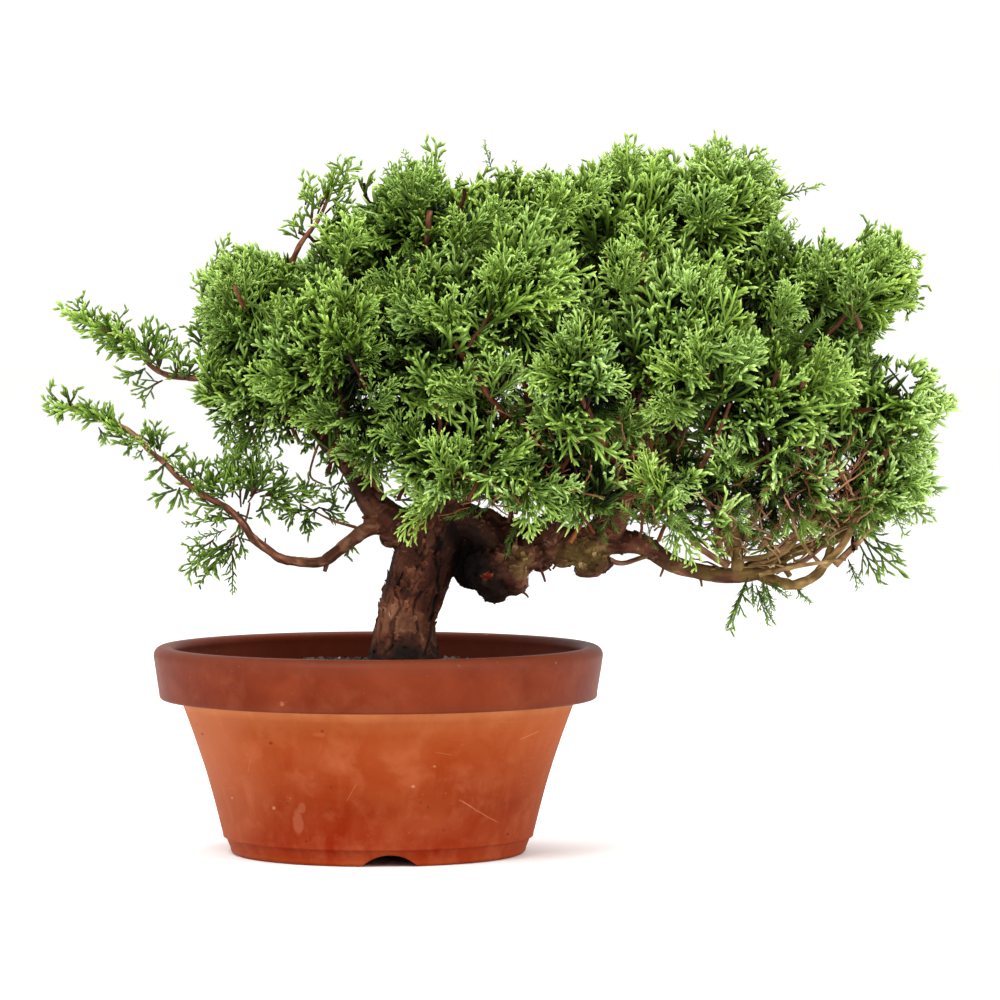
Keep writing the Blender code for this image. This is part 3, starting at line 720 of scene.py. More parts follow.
def front_view(p):
    """Where a point shows on the pot's mid plane from the front."""
    k = -EYE[1] / (p[..., 1] - EYE[1])
    return np.stack([EYE[0] + (p[..., 0] - EYE[0]) * k, EYE[2] + (p[..., 2] - EYE[2]) * k], -1)


def in_view(x, z, depth):
    """The point at a depth that shows at (x, z) of the mid plane from the front."""
    k = (depth - EYE[1]) / -EYE[1]
    return np.array([EYE[0] + (x - EYE[0]) * k, depth, EYE[2] + (z - EYE[2]) * k])


# Where the growth is lighter or darker from the front: middle (x, z), half sizes, amount
PLACE_TONES = [
    (1, 279, 38.4, 41.6, -0.14), (-64.1, 273.7, 37.3, 48, -0.08), (286.3, 220.3, 32, 44.8, 0.125), (265, 309.9, 30.9, 27.7, -0.05), (198.3, 200.1, 62.9, 29.9, 0.21),
    (43.7, 344.1, 55.5, 27.7, -0.06), (161, 348.3, 55.5, 26.7, -0.02), (89, 279, 48, 37.3, 0.02), (75.7, 199, 53.3, 21.3, 0.02),
]


def place_tone(p):
    """How much lighter or darker the growth is at a place."""
    q = front_view(p)
    total = np.zeros(len(q))
    for x, z, rx, rz, amount in PLACE_TONES:
        d = np.sqrt(((q[:, 0] - x) / rx) ** 2 + ((q[:, 1] - z) / rz) ** 2)
        total += amount * smoothstep(1.35, 0.45, d)
    return total


def outside(q):
    """Distance out of the outline (negative inside) and the way back in."""
    a, b = OUTLINE, np.roll(OUTLINE, -1, 0)
    ab = b - a
    t = np.clip(((q[:, None] - a) * ab).sum(-1) / (ab**2).sum(-1), 0, 1)
    near = a + ab * t[..., None]
    gap = q[:, None] - near
    dist = np.linalg.norm(gap, axis=-1)
    i = dist.argmin(1)
    rows = np.arange(len(q))
    crossing = ((a[:, 1] > q[:, 1:]) != (b[:, 1] > q[:, 1:])) & (
        q[:, :1] < (b[:, 0] - a[:, 0]) * (q[:, 1:] - a[:, 1]) / (b[:, 1] - a[:, 1] + 1e-9) + a[:, 0]
    )
    inside = crossing.sum(1) % 2 == 1
    d = np.where(inside, -dist[rows, i], dist[rows, i])
    way = unit(gap[rows, i]) * np.where(inside, 1.0, -1.0)[:, None]
    return d, way


# Gaps through which one can see past the crown: middle (x, z) and half sizes
GAPS = [
    (-41.6, 170.8, 26.6, 12.2), (-46.8, 203.8, 5, 8), (-8.4, 357.9, 7.8, 9.6), (-28.1, 201.6, 7.2, 9), (278.9, 250.8, 11.2, 10.1),
    (-16, 190.8, 5.8, 7.8), (173.8, 158.4, 6.9, 5.9), (-85.9, 208.9, 5.4, 5), (11.7, 186.7, 7.5, 3.2), (234.1, 157.7, 3.2, 4),
    (257.8, 210.2, 5.1, 3.2), (250.6, 206.2, 2.7, 3.5), (237.8, 169.7, 1.6, 3.8), (261.5, 173.9, 1.8, 3.8), (-41.7, 336.4, 1.6, 3),
    (197.6, 354.5, 1.9, 1.8), (173.8, 346.5, 2.1, 1.8), (103.4, 364.9, 2.1, 1.6), (258.1, 292.9, 2.1, 2.2), (282.9, 277.4, 1.8, 1.6),
    (-93.4, 265.7, 1.6, 1.6),
]


def trimmed(p):
    """Which shoots stay, inside the outline and clear of the gaps, and which of them lie at the airy rim, where the
    painted shade is eased.
    """
    q = front_view(p)
    dist = outside(q)[0]
    stays = dist < 1.2 + 2.2 * np.sin(q[:, 0] * 0.31) * np.sin(q[:, 1] * 0.27 + p[:, 1] * 0.2)
    for x, z, rx, rz in GAPS:
        stays &= ((q[:, 0] - x) / rx) ** 2 + ((q[:, 1] - z) / rz) ** 2 > 0.9
    return stays, smoothstep(-22.0, -6.0, dist)


def well_inside(p):
    """The same for the dark growth behind, which stays further in."""
    stays, rim = trimmed(p)
    return stays & (outside(front_view(p))[0] < -9.0), rim


def keep_within(p, margin):
    """Points moved sideways until they show inside the outline; far ones are dropped."""
    d, way = outside(front_view(p))
    shift = np.clip(d + margin, 0, None)
    moved = p.copy()
    moved[:, 0] += way[:, 0] * shift
    moved[:, 2] += way[:, 1] * shift
    return moved, d < 14.0


TUFTS = make_tufts(16, 1000, height=39.0, plumes=6, spread=42.0, side=0.40, thick=0.90)
SMALL_TUFTS = make_tufts(8, 1200, height=31.0, plumes=5, spread=40.0, side=0.44, thick=0.88)
SPRAYS = make_sprays(14, 2000, length=42.0, side=0.40, gap1=3.9)
AIRY_SPRAYS = {
    reach: make_sprays(5, 2100 + reach, length=float(reach), gap1=3.9, gap2=4.1, side=side, thick=0.76, flat=22.0,
                       angle=41.0, stubs=0.35, stem_part=0.3 if reach > 16 else 0.0)
    for reach, side in ((10, 0.30), (15, 0.38), (21, 0.44), (29, 0.46), (38, 0.46))
}
FINE_SPRAYS = "airy"
TIP_PLUMES = make_sprays(6, 2200, length=46.0, gap1=2.1, gap2=3.2, side=0.15, thick=0.90, flat=50.0, angle=46.0,
                         stem_part=0.0, stubs=0.2)
NARROW = make_sprays(6, 2250, length=32.0, gap1=2.5, gap2=4.0, side=0.13, thick=0.62, flat=45.0, angle=50.0, stem_part=0.2,
                     stubs=0.1)
OPEN_SPRAYS = make_sprays(5, 2270, length=32.0, gap1=5.2, gap2=7.0, side=0.42, thick=0.72, flat=18.0, angle=33.0, stem_part=0.2,
                          stubs=0.05)
NEEDLES = make_sprays(8, 2300, needles=True, length=30.0, hue=0.13)
NEEDLE_TUFTS = make_tufts(8, 2400, height=31.0, plumes=6, spread=56.0, needles=True, hue=0.16, tone=0.20)

rng = np.random.default_rng(5)


def settle(variant, base, d, size, margin=0.0):
    """A clump's base moved sideways until nearly all its shoots show inside the outline."""
    M = spin_matrix(d, 0.0) * size
    shape = variant.verts[:: max(len(variant.verts) // 150, 1)] @ M.T
    for _ in range(4):
        dist, way = outside(front_view(shape + base))
        worst = np.argsort(dist)[-16:]
        push = np.clip(dist[worst] + margin, 0, 30)
        if push.mean() < 0.8:
            break
        step = (way[worst] * push[:, None]).mean(0) * 0.9
        base = base + np.array([step[0], 0, step[1]])
    return base


builders = {name: Builder(name.replace("foliage_", "shoots_")) for name in PADS}


def open_zone(p):
    """How far a point lies in the thin, twiggy part low at the right of the crown."""
    q = front_view(p)
    inside = smoothstep(0, 40, q[:, 0] - 132) * smoothstep(0, 14, 262 - q[:, 0]) * smoothstep(0, 30, 230 - q[:, 1])
    inside = np.maximum(inside, 0.85 * smoothstep(84, 104, q[:, 0]) * (q[:, 0] < 160) * smoothstep(222, 204, q[:, 1]))
    inside = np.maximum(inside, 0.6 * smoothstep(225, 262, q[:, 0]) * smoothstep(236, 222, q[:, 1]))
    inside = np.maximum(inside, smoothstep(24, 34, q[:, 0]) * (q[:, 0] < 150) * smoothstep(196, 184, q[:, 1]))
    return inside * smoothstep(34, 8, p[:, 1])


points, normals = crown_points(rng, 18.0, lift=-2.0)
points, ok = keep_within(points, 5.0)
points, normals = points[ok], normals[ok]
owner = nearest_pad(points, SOLID_PADS)
thin_here = open_zone(points)
print("tufts", len(points))
for p, n, o, thin in zip(points, normals, owner, thin_here):
    name = SOLID_PADS[o]
    if n[2] < -0.5 and rng.random() < 0.35:
        continue
    centre = np.array(PADS[name][0], float)
    out = unit(p - (centre - np.array([0, 0, 14.0])))
    wander = np.array([noise3(p[None] / 34.0, 31)[0], noise3(p[None] / 34.0, 32)[0], noise3(p[None] / 34.0, 33)[0]])
    rise = 0.85 * smoothstep(-0.45, 0.20, n[2])
    away = np.array([(p[0] - 62.0) / 190.0, 0.0, 0.0])
    d = 0.30 * n + 0.28 * out + np.array([0, 0, rise]) + 0.7 * away + 0.75 * wander + rng.normal(0, 0.18, 3)
    if n[2] < -0.2:
        d = d + 0.5 * n
    d = unit(d)
    flat = 1 - abs(float(np.dot(d, n)))
    size = rng.uniform(0.84, 1.22)
    if rng.random() < thin * 0.92:
        if rng.random() < 0.80:
            builders[name].put(NEEDLE_TUFTS[rng.integers(len(NEEDLE_TUFTS))], p - d * 26.0, d, 0.9,
                               rng.uniform(0, 2 * math.pi), shade=crown_shade, hue=rng.normal(0.10, 0.06), tone=0.24,
                               trim=trimmed)
        continue
    kind = TUFTS if rng.random() < 0.8 else SMALL_TUFTS
    kind = kind[rng.integers(len(kind))]
    base = p - d * 33.0 * size * rng.uniform(0.90, 1.12) - n * 9.0 * flat
    base = settle(kind, base, d, size)
    low = smoothstep(240, 195, p[2])
    high = smoothstep(300, 345, p[2])
    proud = smoothstep(-50, -95, p[1]) * smoothstep(305, 270, p[2])
    # Painted light: tufts on skin that faces up are made lighter.
    tone = 0.04 * n[2] + rng.normal(0, 0.055) + 0.055 + 0.02 * low - 0.03 * high
    builders[name].put(kind, base, d, size, rng.uniform(0, 2 * math.pi), shade=crown_shade,
                       hue=rng.normal(0, 0.10) + 0.16 * wander[1] - 0.08 * low + 0.05 * high - 0.12 * proud, tone=tone, mirror=rng.random() < 0.5,
                       trim=trimmed)

# Needle growth fills the shade between the tufts.
points, normals = crown_points(rng, 22.0, lift=-24.0, rough=4.0)
points, ok = keep_within(points, 12.0)
points, normals = points[ok], normals[ok]
owner = nearest_pad(points, SOLID_PADS)
thin_here = open_zone(points)
print("inner tufts", len(points))
for p, n, o, thin in zip(points, normals, owner, thin_here):
    if rng.random() < thin * 0.5:
        continue
    name = SOLID_PADS[o]
    d = unit(0.7 * n + np.array([0, 0, 0.2]) + rng.normal(0, 0.35, 3))
    kind, size = NEEDLE_TUFTS[rng.integers(len(NEEDLE_TUFTS))], rng.uniform(0.9, 1.25)
    builders[name].put(kind, settle(kind, p - d * 18.0, d, size, 2.0), d, size, rng.uniform(0, 2 * math.pi),
                       shade=crown_shade, hue=rng.normal(0.05, 0.06), tone=rng.normal(0.10, 0.05),
                       trim=well_inside)

# Single sprays stand a little out of the skin and break its outline.
points, normals = crown_points(rng, 24.0, lift=2.0)
points, ok = keep_within(points, 3.0)
points, normals = points[ok], normals[ok]
owner = nearest_pad(points, SOLID_PADS)
thin_here = open_zone(points)
for p, n, o, thin in zip(points, normals, owner, thin_here):
    if rng.random() < 0.30 + 0.4 * thin:
        continue
    name = SOLID_PADS[o]
    d = unit(0.8 * n + np.array([0, 0, 0.35]) + rng.normal(0, 0.3, 3))
    size = rng.uniform(0.8, 1.15)
    base = p - d * 38.0 * size * rng.uniform(0.84, 1.0)
    kind = SPRAYS[rng.integers(len(SPRAYS))]
    base = settle(kind, base, d, size, -2.0)
    # Painted light: sprays on skin that faces up are made lighter.
    builders[name].put(kind, base, d, size, rng.uniform(0, 2 * math.pi), shade=crown_shade,
                       hue=rng.normal(0.03, 0.07), tone=0.03 + 0.05 * n[2] + rng.normal(0, 0.04),
                       trim=trimmed)


# ------------------------------------------------------------ placed sprays
def pad_at(p):
    return SOLID_PADS[int(nearest_pad(p[None], SOLID_PADS)[0])]


def put_between(node, kinds, a, b, tone=0.0, hue=0.0, spin=0.0, fan=(0, 1, 0), trim=None):
    """A spray from one point to another."""
    reach = np.linalg.norm(b - a)
    if kinds == "airy":
        kinds = AIRY_SPRAYS[min(AIRY_SPRAYS, key=lambda r: abs(r - reach))]
    variant = kinds[rng.integers(len(kinds))]
    own = variant.verts[:, 2].max()
    builders[node].put(variant, a, b - a, reach / own, spin + rng.normal(0, 0.35), fan=fan, hue=hue,
                       tone=tone, mirror=rng.random() < 0.5, trim=trim)


def put_fan(x0, z0, x1, z1, depth0, depth1, count=5, spread=0.55, tone=0.0, hue=0.0, kinds=None, node=None,
            reach=38.0, trim=None):
    """A twig's leading spray with side sprays off it; (x, z) as seen from the front."""
    a, b = in_view(x0, z0, depth0), in_view(x1, z1, depth1)
    length = np.linalg.norm(b - a)
    node = node or pad_at(b)
    start = b - unit(b - a) * max(min(length, reach), 0.8 * reach)
    put_between(node, kinds or SPRAYS, start, b, tone=tone + 0.02, hue=hue, spin=rng.normal(0, 0.5), trim=trim)
    side = rng.choice([-1, 1])
    for i in range(count - 1):
        along = 0.04 + 0.52 * i / max(count - 1, 1) + rng.uniform(0, 0.08)
        turned = np.array([side * spread * rng.uniform(0.75, 1.35)])
        side = -side
        d = turn((b - start)[None], np.array([[0, 1.0, 0]]), turned)[0] * (0.84 - 0.62 * along) * rng.uniform(0.86, 1.1)
        d = d + np.array([0, rng.normal(0, 0.22) * np.linalg.norm(d), 0])
        root = start + (b - start) * along
        put_between(node, kinds or SPRAYS, root, root + d, tone=tone + rng.normal(0, 0.03),
                    hue=hue + rng.normal(0, 0.04), spin=rng.normal(0, 0.5), trim=trim)


# Airy sprays of the two long branches at the left: (x, z) of base and tip, depth
UPPER_LEFT = [
    (-151.5, 283.3, -164.3, 293.9, -26), (-91.8, 270.5, -105.1, 282.2, -22), (-90.7, 267.3, -102.5, 274.7, -22),
    (-90.7, 274.7, -100.3, 285.4, -20), (-91.8, 268.3, -97.1, 270.5, -18), (-134.5, 273.7, -140.3, 291.3, -25),
    (-131.8, 267.3, -144.1, 268.3, -22), (-122.7, 263, -113.7, 284.9, -24), (-122.7, 264.1, -128.6, 284.9, -20),
    (-119, 256.6, -106.7, 279, -22), (-123.8, 258.2, -139.8, 250.2, -28), (-114.7, 251.8, -131.3, 243.8, -24),
    (-105.7, 253.9, -113.1, 259.8, -26), (-141.9, 277.4, -148.9, 291.8, -28), (-138.7, 274.7, -145.1, 267.3, -30),
    (-150.5, 281.7, -157.9, 292.3, -24), (-152.6, 282.2, -160.1, 279, -28), (-116.3, 255.5, -121.7, 279, -14),
    (-109.9, 253.4, -99.3, 267.3, -18), (-103, 252.9, -95, 267.3, -24), (-100.3, 252.3, -107.8, 259.8, -30),
    (-129.1, 267.3, -133.4, 281.1, -32), (-146.2, 278.5, -152.6, 286.5, -20), (-95, 251.3, -81.1, 240.6, -28),
    (-88.6, 253.4, -75.8, 265.1, -30), (-127, 265.7, -121.7, 279, -26), (-136.6, 271, -138.7, 281.7, -20),
    (-121.7, 260.3, -109.9, 271, -30), (-107.8, 252.9, -102.5, 273.7, -26), (-91.8, 252.3, -88.6, 268.3, -30),
    (-137.7, 272.6, -146.2, 273.7, -34),
]
LOWER_LEFT = [
    (-165.4, 239.5, -178.2, 231.5, -36), (-87.5, 167, -101.9, 156.3, -34), (-74.7, 169.1, -69.9, 156.3, -30),
    (-41.7, 180.9, -61.9, 189.4, -26), (-35.3, 181.9, -51.3, 184.1, -24), (-31, 184.1, -42.7, 179.8, -22),
    (-42.7, 188.3, -39.5, 180.9, -24), (-83.3, 237.4, -93.4, 233.1, -28), (-51.3, 225.7, -54.5, 213.9, -24),
    (-38.5, 225.7, -40.6, 212.9, -22), (-35.3, 218.2, -42.7, 211.8, -20), (-47, 227.8, -50.2, 217.1, -26),
    (-167.5, 237.4, -177.1, 249.1, -38), (-163.3, 235.3, -173.9, 242.7, -36), (-150.5, 231, -156.9, 243.8, -36),
    (-57.7, 231, -77.9, 222.5, -34), (-61.9, 228.9, -82.2, 217.1, -32), (-68.3, 231, -87.5, 225.7, -30),
    (-73.7, 233.1, -83.3, 220.3, -28), (-65.7, 228.9, -71.5, 208.6, -24), (-61.9, 229.9, -65.1, 213.9, -30),
    (-49.7, 228.9, -61.9, 221.4, -30), (-41.7, 227.8, -54.5, 222.5, -26), (-58.7, 228.9, -68.3, 204.3, -22),
    (-70.5, 231, -79, 210.7, -26), (-81.7, 235.3, -90.7, 228.9, -30), (-36.3, 226.7, -41.7, 220.3, -24),
    (-26.7, 220.3, -32.1, 205.4, -18), (-21.4, 212.3, -25.7, 195.8, -14), (-32.1, 222.5, -37.4, 213.9, -22),
    (-17.7, 204.3, -23.5, 188.3, -12), (-77.9, 234.2, -86.5, 215, -24), (-53.4, 228.9, -58.7, 217.1, -20),
    (-163.8, 237.9, -168.6, 251.3, -36), (-166.5, 238.5, -171.8, 226.7, -38), (-143, 231.5, -144.1, 240.6, -36),
    (-148.9, 226.7, -141.9, 217.7, -40), (-117.4, 215, -125.4, 230.5, -36), (-116.3, 213.9, -119, 232.6, -34),
    (-116.3, 213.9, -114.7, 227.8, -38), (-112.1, 210.7, -100.3, 218.2, -38), (-113.1, 207.5, -125.4, 197.9, -40),
    (-107.3, 193.7, -123.8, 187.8, -36), (-105.7, 194.7, -111.5, 180.3, -38), (-99.8, 198.5, -95, 213.4, -40),
    (-95, 198.5, -91.3, 212.3, -36), (-88.6, 191.5, -92.3, 205.4, -34), (-87.5, 193.7, -86.5, 208.6, -30),
    (-79, 183, -102.5, 188.3, -34), (-83.3, 180.3, -104.1, 171.8, -36), (-81.1, 172.3, -100.3, 163.3, -38),
    (-72.1, 170.7, -104.6, 148.3, -36), (-77.9, 165.4, -99.8, 141.4, -32), (-74.7, 164.3, -95, 153.1, -28),
    (-77.9, 158.5, -77.4, 136.6, -34), (-73.1, 184.1, -75.8, 221.9, -30), (-72.1, 185.7, -61.9, 217.7, -26),
    (-69.4, 186.7, -49.7, 214.5, -34), (-68.3, 189.9, -55, 207.5, -38), (-73.7, 193.7, -85.4, 213.9, -34),
    (-63, 189.9, -35.3, 195.3, -30), (-61.9, 183, -58.7, 172.9, -34), (-65.1, 181.9, -51.3, 188.3, -30),
    (-49.7, 188.9, -25.7, 193.7, -28), (-38.5, 180.3, -41.1, 165.9, -20), (-37.4, 180.3, -34.7, 168.6, -18),
    (-43.8, 181.9, -49.1, 171.8, -20), (-15, 166.5, -17.1, 155.3, -14), (-32.1, 184.1, -15, 179.8, -14),
    (-17.7, 181.9, -11.8, 194.7, -12), (-132.3, 219.3, -133.4, 210.7, -34), (-125.4, 215, -129.1, 208.6, -40),
    (-104.6, 204.3, -97.1, 208.6, -30), (-92.3, 189.9, -100.3, 200.1, -42), (-83.3, 188.3, -81.1, 204.3, -40),
    (-57.7, 191, -47, 205.4, -24), (-41.7, 188.3, -35.3, 200.1, -20), (-75.8, 177.7, -89.7, 178.7, -26),
    (-64.1, 194.7, -70.5, 212.3, -24), (-81.7, 185.7, -87.5, 173.4, -44), (-25.7, 181.9, -20.3, 192.6, -22),
    (-121.7, 217.1, -122.7, 228.9, -38), (-102.5, 201.1, -107.8, 210.7, -40), (-87.5, 192.6, -97.1, 204.3, -36),
    (-77.9, 189.4, -74.7, 209.7, -36), (-70.5, 188.3, -66.2, 204.3, -32), (-80.1, 189.4, -91.8, 199, -38),
    (-82.2, 177.7, -95, 174.5, -30), (-75.8, 169.7, -85.4, 156.3, -30), (-86.5, 196.9, -81.1, 215, -28),
    (-65.7, 191.5, -47, 199, -36), (-59.8, 188.3, -41.7, 184.1, -30), (-74.7, 181.9, -70.5, 167, -30),
    (-90.7, 195.8, -83.3, 204.3, -28), (-68.3, 192.6, -77.9, 204.3, -40), (-97.1, 197.9, -104.6, 188.3, -36),
]
for x0, z0, x1, z1, depth in UPPER_LEFT:
    put_between("foliage_upper_left_twig", FINE_SPRAYS, in_view(x0, z0, depth),
                in_view(x1, z1, depth + rng.normal(0, 5)), tone=-0.07, hue=0.05)
for x0, z0, x1, z1, depth in LOWER_LEFT:
    node = "foliage_left_tip" if x0 < -100 else "foliage_left_hanging"
    thin = z1 < 172 and x1 < -75 and rng.random() < 0.6
    put_between(node, NARROW if thin else FINE_SPRAYS, in_view(x0, z0, depth), in_view(x1, z1, depth + rng.normal(0, 6)), tone=-0.09,
                hue=0.0)
for x0, z0, x1, z1, depth in [
    (-122.7, 264.1, -173.9, 290.2, -26), (-127, 267.3, -161.1, 285.4, -22), (-116.3, 258.7, -146.2, 279, -30),
]:
    put_between("foliage_upper_left_twig", TIP_PLUMES, in_view(x0, z0, depth), in_view(x1, z1, depth - 2), tone=0.08,
                hue=0.08)
for x0, z0, x1, z1, depth in [
    (-132.3, 223.5, -179.3, 244.9, -36), (-141.9, 228.3, -168.6, 243.8, -34), (-112.1, 208.6, -131.3, 221.4, -36),
    (-97.1, 196.9, -116.3, 211.8, -36), (-81.7, 187.3, -100.3, 199, -34), (-121.7, 216.1, -150.5, 228.9, -38),
]:
    put_between("foliage_left_tip", TIP_PLUMES, in_view(x0, z0, depth), in_view(x1, z1, depth - 2), tone=0.06,
                hue=0.04)

# Sprigs that hang from the right limb
for x0, z0, x1, z1, depth in [
    (206.9, 144.6, 210.1, 127.5, -24), (204.7, 146.7, 207.9, 131.8, -28), (197.3, 146.7, 184.5, 116.9, -30),
    (199.4, 145.7, 200.5, 130.7, -26), (201.5, 142.5, 211.1, 119, -28), (207.9, 144.6, 219.7, 135, -24),
    (220.7, 143.5, 230.3, 131.3, -22), (250.6, 156.3, 258.1, 140.3, -20), (205.8, 145.7, 205.8, 131.8, -20),
]:
    node = "foliage_right_low" if x0 > 240 else "foliage_right_inner"
    for kinds in (NEEDLES, NARROW):
        put_between(node, kinds, in_view(x0, z0, depth), in_view(x1, z1, depth + rng.normal(0, 3)), tone=-0.03, hue=-0.04)

# Long open shoots at the lower right
for x0, z0, x1, z1, depth in [
    (257, 169.1, 280.5, 142.5, -22), (255.9, 165.9, 268.7, 140.3, -20), (258.1, 172.3, 281.5, 155.3, -18),
]:
    put_between("foliage_right_low", OPEN_SPRAYS, in_view(x0, z0, depth), in_view(x1, z1, depth + rng.normal(0, 3)), tone=-0.06,
                hue=-0.06)

# Bright fans of new growth that stand out in front: (x, z) of twig and tip, depths, sprays, half angle
for x0, z0, x1, z1, d0, d1, count, spread in [
    (69.3, 287, 67.7, 324.3, -92, -120, 6, 0.75), (69.3, 295, 105, 304.1, -95, -116, 4, 0.35),
    (49, 267.3, 28.7, 303, -92, -116, 5, 0.6), (41, 271, 6.3, 295, -90, -112, 4, 0.35),
    (-15, 276.3, -18.7, 309.9, -88, -108, 5, 0.55), (27.7, 292.3, 2.6, 297.1, -92, -108, 3, 0.3),
    (22.3, 329.7, 12.7, 369.7, -50, -66, 5, 0.5), (25, 335, 30.9, 375, -40, -50, 3, 0.25),
    (-17.7, 303, -18.7, 344.1, -70, -86, 5, 0.5), (41, 315.3, 55.4, 347.3, -80, -96, 5, 0.5),
    (41, 315.3, 71.4, 349.4, -78, -92, 4, 0.3), (83.7, 324.3, 105, 357.9, -70, -88, 5, 0.45),
    (86.3, 329.7, 126.9, 363.3, -60, -74, 3, 0.25), (133.3, 340.3, 132.2, 380.3, -30, -40, 5, 0.35),
    (131.7, 276.3, 130.1, 329.1, -84, -104, 5, 0.55), (106.6, 247, 106.1, 287, -92, -118, 5, 0.7),
    (106.6, 248.1, 78.3, 261.9, -90, -112, 4, 0.4), (106.6, 248.1, 133.3, 255, -92, -112, 4, 0.35),
    (59.7, 241.7, 67.7, 271, -92, -114, 4, 0.5), (54.3, 241.7, 28.7, 249.7, -90, -110, 4, 0.5),
    (142.3, 308.3, 142.3, 344.1, -70, -90, 5, 0.6), (171.7, 321.7, 174.3, 361.7, -48, -62, 5, 0.5),
    (182.3, 343, 206.3, 375, -20, -32, 5, 0.45), (166.3, 348.3, 183.4, 379.3, -20, -30, 4, 0.4),
    (171.7, 276.3, 166.3, 315.3, -84, -100, 5, 0.5), (171.7, 241.7, 150.3, 272.6, -86, -108, 5, 0.5),
    (174.3, 244.3, 174.3, 285.4, -86, -110, 5, 0.5), (179.7, 241.7, 201, 276.3, -84, -106, 5, 0.5),
    (166.3, 236.3, 139.7, 240.6, -84, -102, 4, 0.4), (251.7, 279, 257, 315.3, -50, -66, 4, 0.5),
    (257, 300.3, 268.7, 331.3, -30, -44, 4, 0.4), (262.3, 300.3, 287.9, 318.5, -20, -34, 4, 0.35),
    (267.7, 308.3, 286.3, 292.3, -10, -18, 4, 0.3), (225, 241.7, 249, 271, -66, -84, 5, 0.5),
    (209, 279, 225, 303, -70, -86, 5, 0.5), (278.3, 223, 306.1, 241.7, -20, -36, 5, 0.4),
    (273, 215, 297, 213.9, -26, -40, 4, 0.4), (273, 199, 298.6, 193.7, -24, -36, 4, 0.35),
    (279.4, 228.9, 292.2, 252.3, -26, -40, 3, 0.25), (241, 231, 247.4, 257.7, -60, -76, 4, 0.45),
    (153, 185.7, 135.4, 213.9, -70, -84, 4, 0.3), (155.7, 181.9, 167.4, 148.9, -62, -70, 2, 0.16),
    (41, 191, 35.7, 228.3, -76, -96, 5, 0.6), (38.3, 193.7, 10.6, 168.1, -72, -84, 3, 0.2),
    (65, 197.9, 110.3, 188.3, -66, -82, 4, 0.3), (75.7, 201.7, 87.9, 167, -62, -74, 3, 0.3),
    (-68.3, 276.3, -92.3, 308.3, -50, -66, 6, 0.7), (-68.3, 276.3, -73.7, 321.7, -44, -60, 4, 0.5),
    (-68.3, 273.7, -96.1, 279, -46, -60, 5, 0.5), (-71, 295, -41.7, 274.7, -70, -86, 3, 0.25),
    (-13.9, 265.1, -25.7, 287, -90, -106, 5, 0.7), (-13.9, 265.1, 3.7, 276.3, -88, -102, 4, 0.5),
    (-25.7, 249.7, -72.6, 252.3, -78, -92, 4, 0.3), (-25.7, 249.7, -36.3, 267.3, -80, -94, 3, 0.4),
    (-7, 236.3, 9, 256.6, -84, -98, 4, 0.5), (190.3, 204.3, 182.3, 228.3, -60, -74, 3, 0.4),
]:
    put_fan(x0, z0, x1, z1, d0, d1, count, spread, tone=0.10, hue=rng.normal(0.0, 0.06),
            trim=trimmed if x0 > 225 else None)
# Duller fans behind them
for x0, z0, x1, z1, d0, d1, count, spread in [
    (63.9, 226.7, 69.3, 250.7, -56, -66, 4, 0.45), (79.9, 228.9, 71.4, 243.8, -54, -64, 3, 0.4),
    (-25.7, 231, -41.7, 241.7, -74, -84, 4, 0.5), (-9.7, 215, -20.3, 225.7, -60, -70, 4, 0.5),
    (97, 225.7, 81, 241.7, -84, -96, 4, 0.5), (97, 279, 97, 300.3, -84, -96, 5, 0.6),
    (214.3, 316.3, 211.7, 340.3, -40, -52, 5, 0.5), (241, 295, 231.4, 321.7, -40, -52, 5, 0.5),
    (-41.7, 279, -47, 300.3, -74, -88, 4, 0.5), (11.7, 279, 11.7, 316.3, -80, -92, 5, 0.6),
    (150.3, 199, 171.7, 188.3, -60, -70, 4, 0.5), (17, 220.3, 9, 236.3, -74, -86, 4, 0.5),
    (129, 225.7, 145, 241.7, -78, -90, 4, 0.5), (86.3, 209.7, 65, 220.3, -72, -84, 4, 0.5),
]:
    put_fan(x0, z0, x1, z1, d0, d1, count, spread, tone=0.03, hue=-0.08)
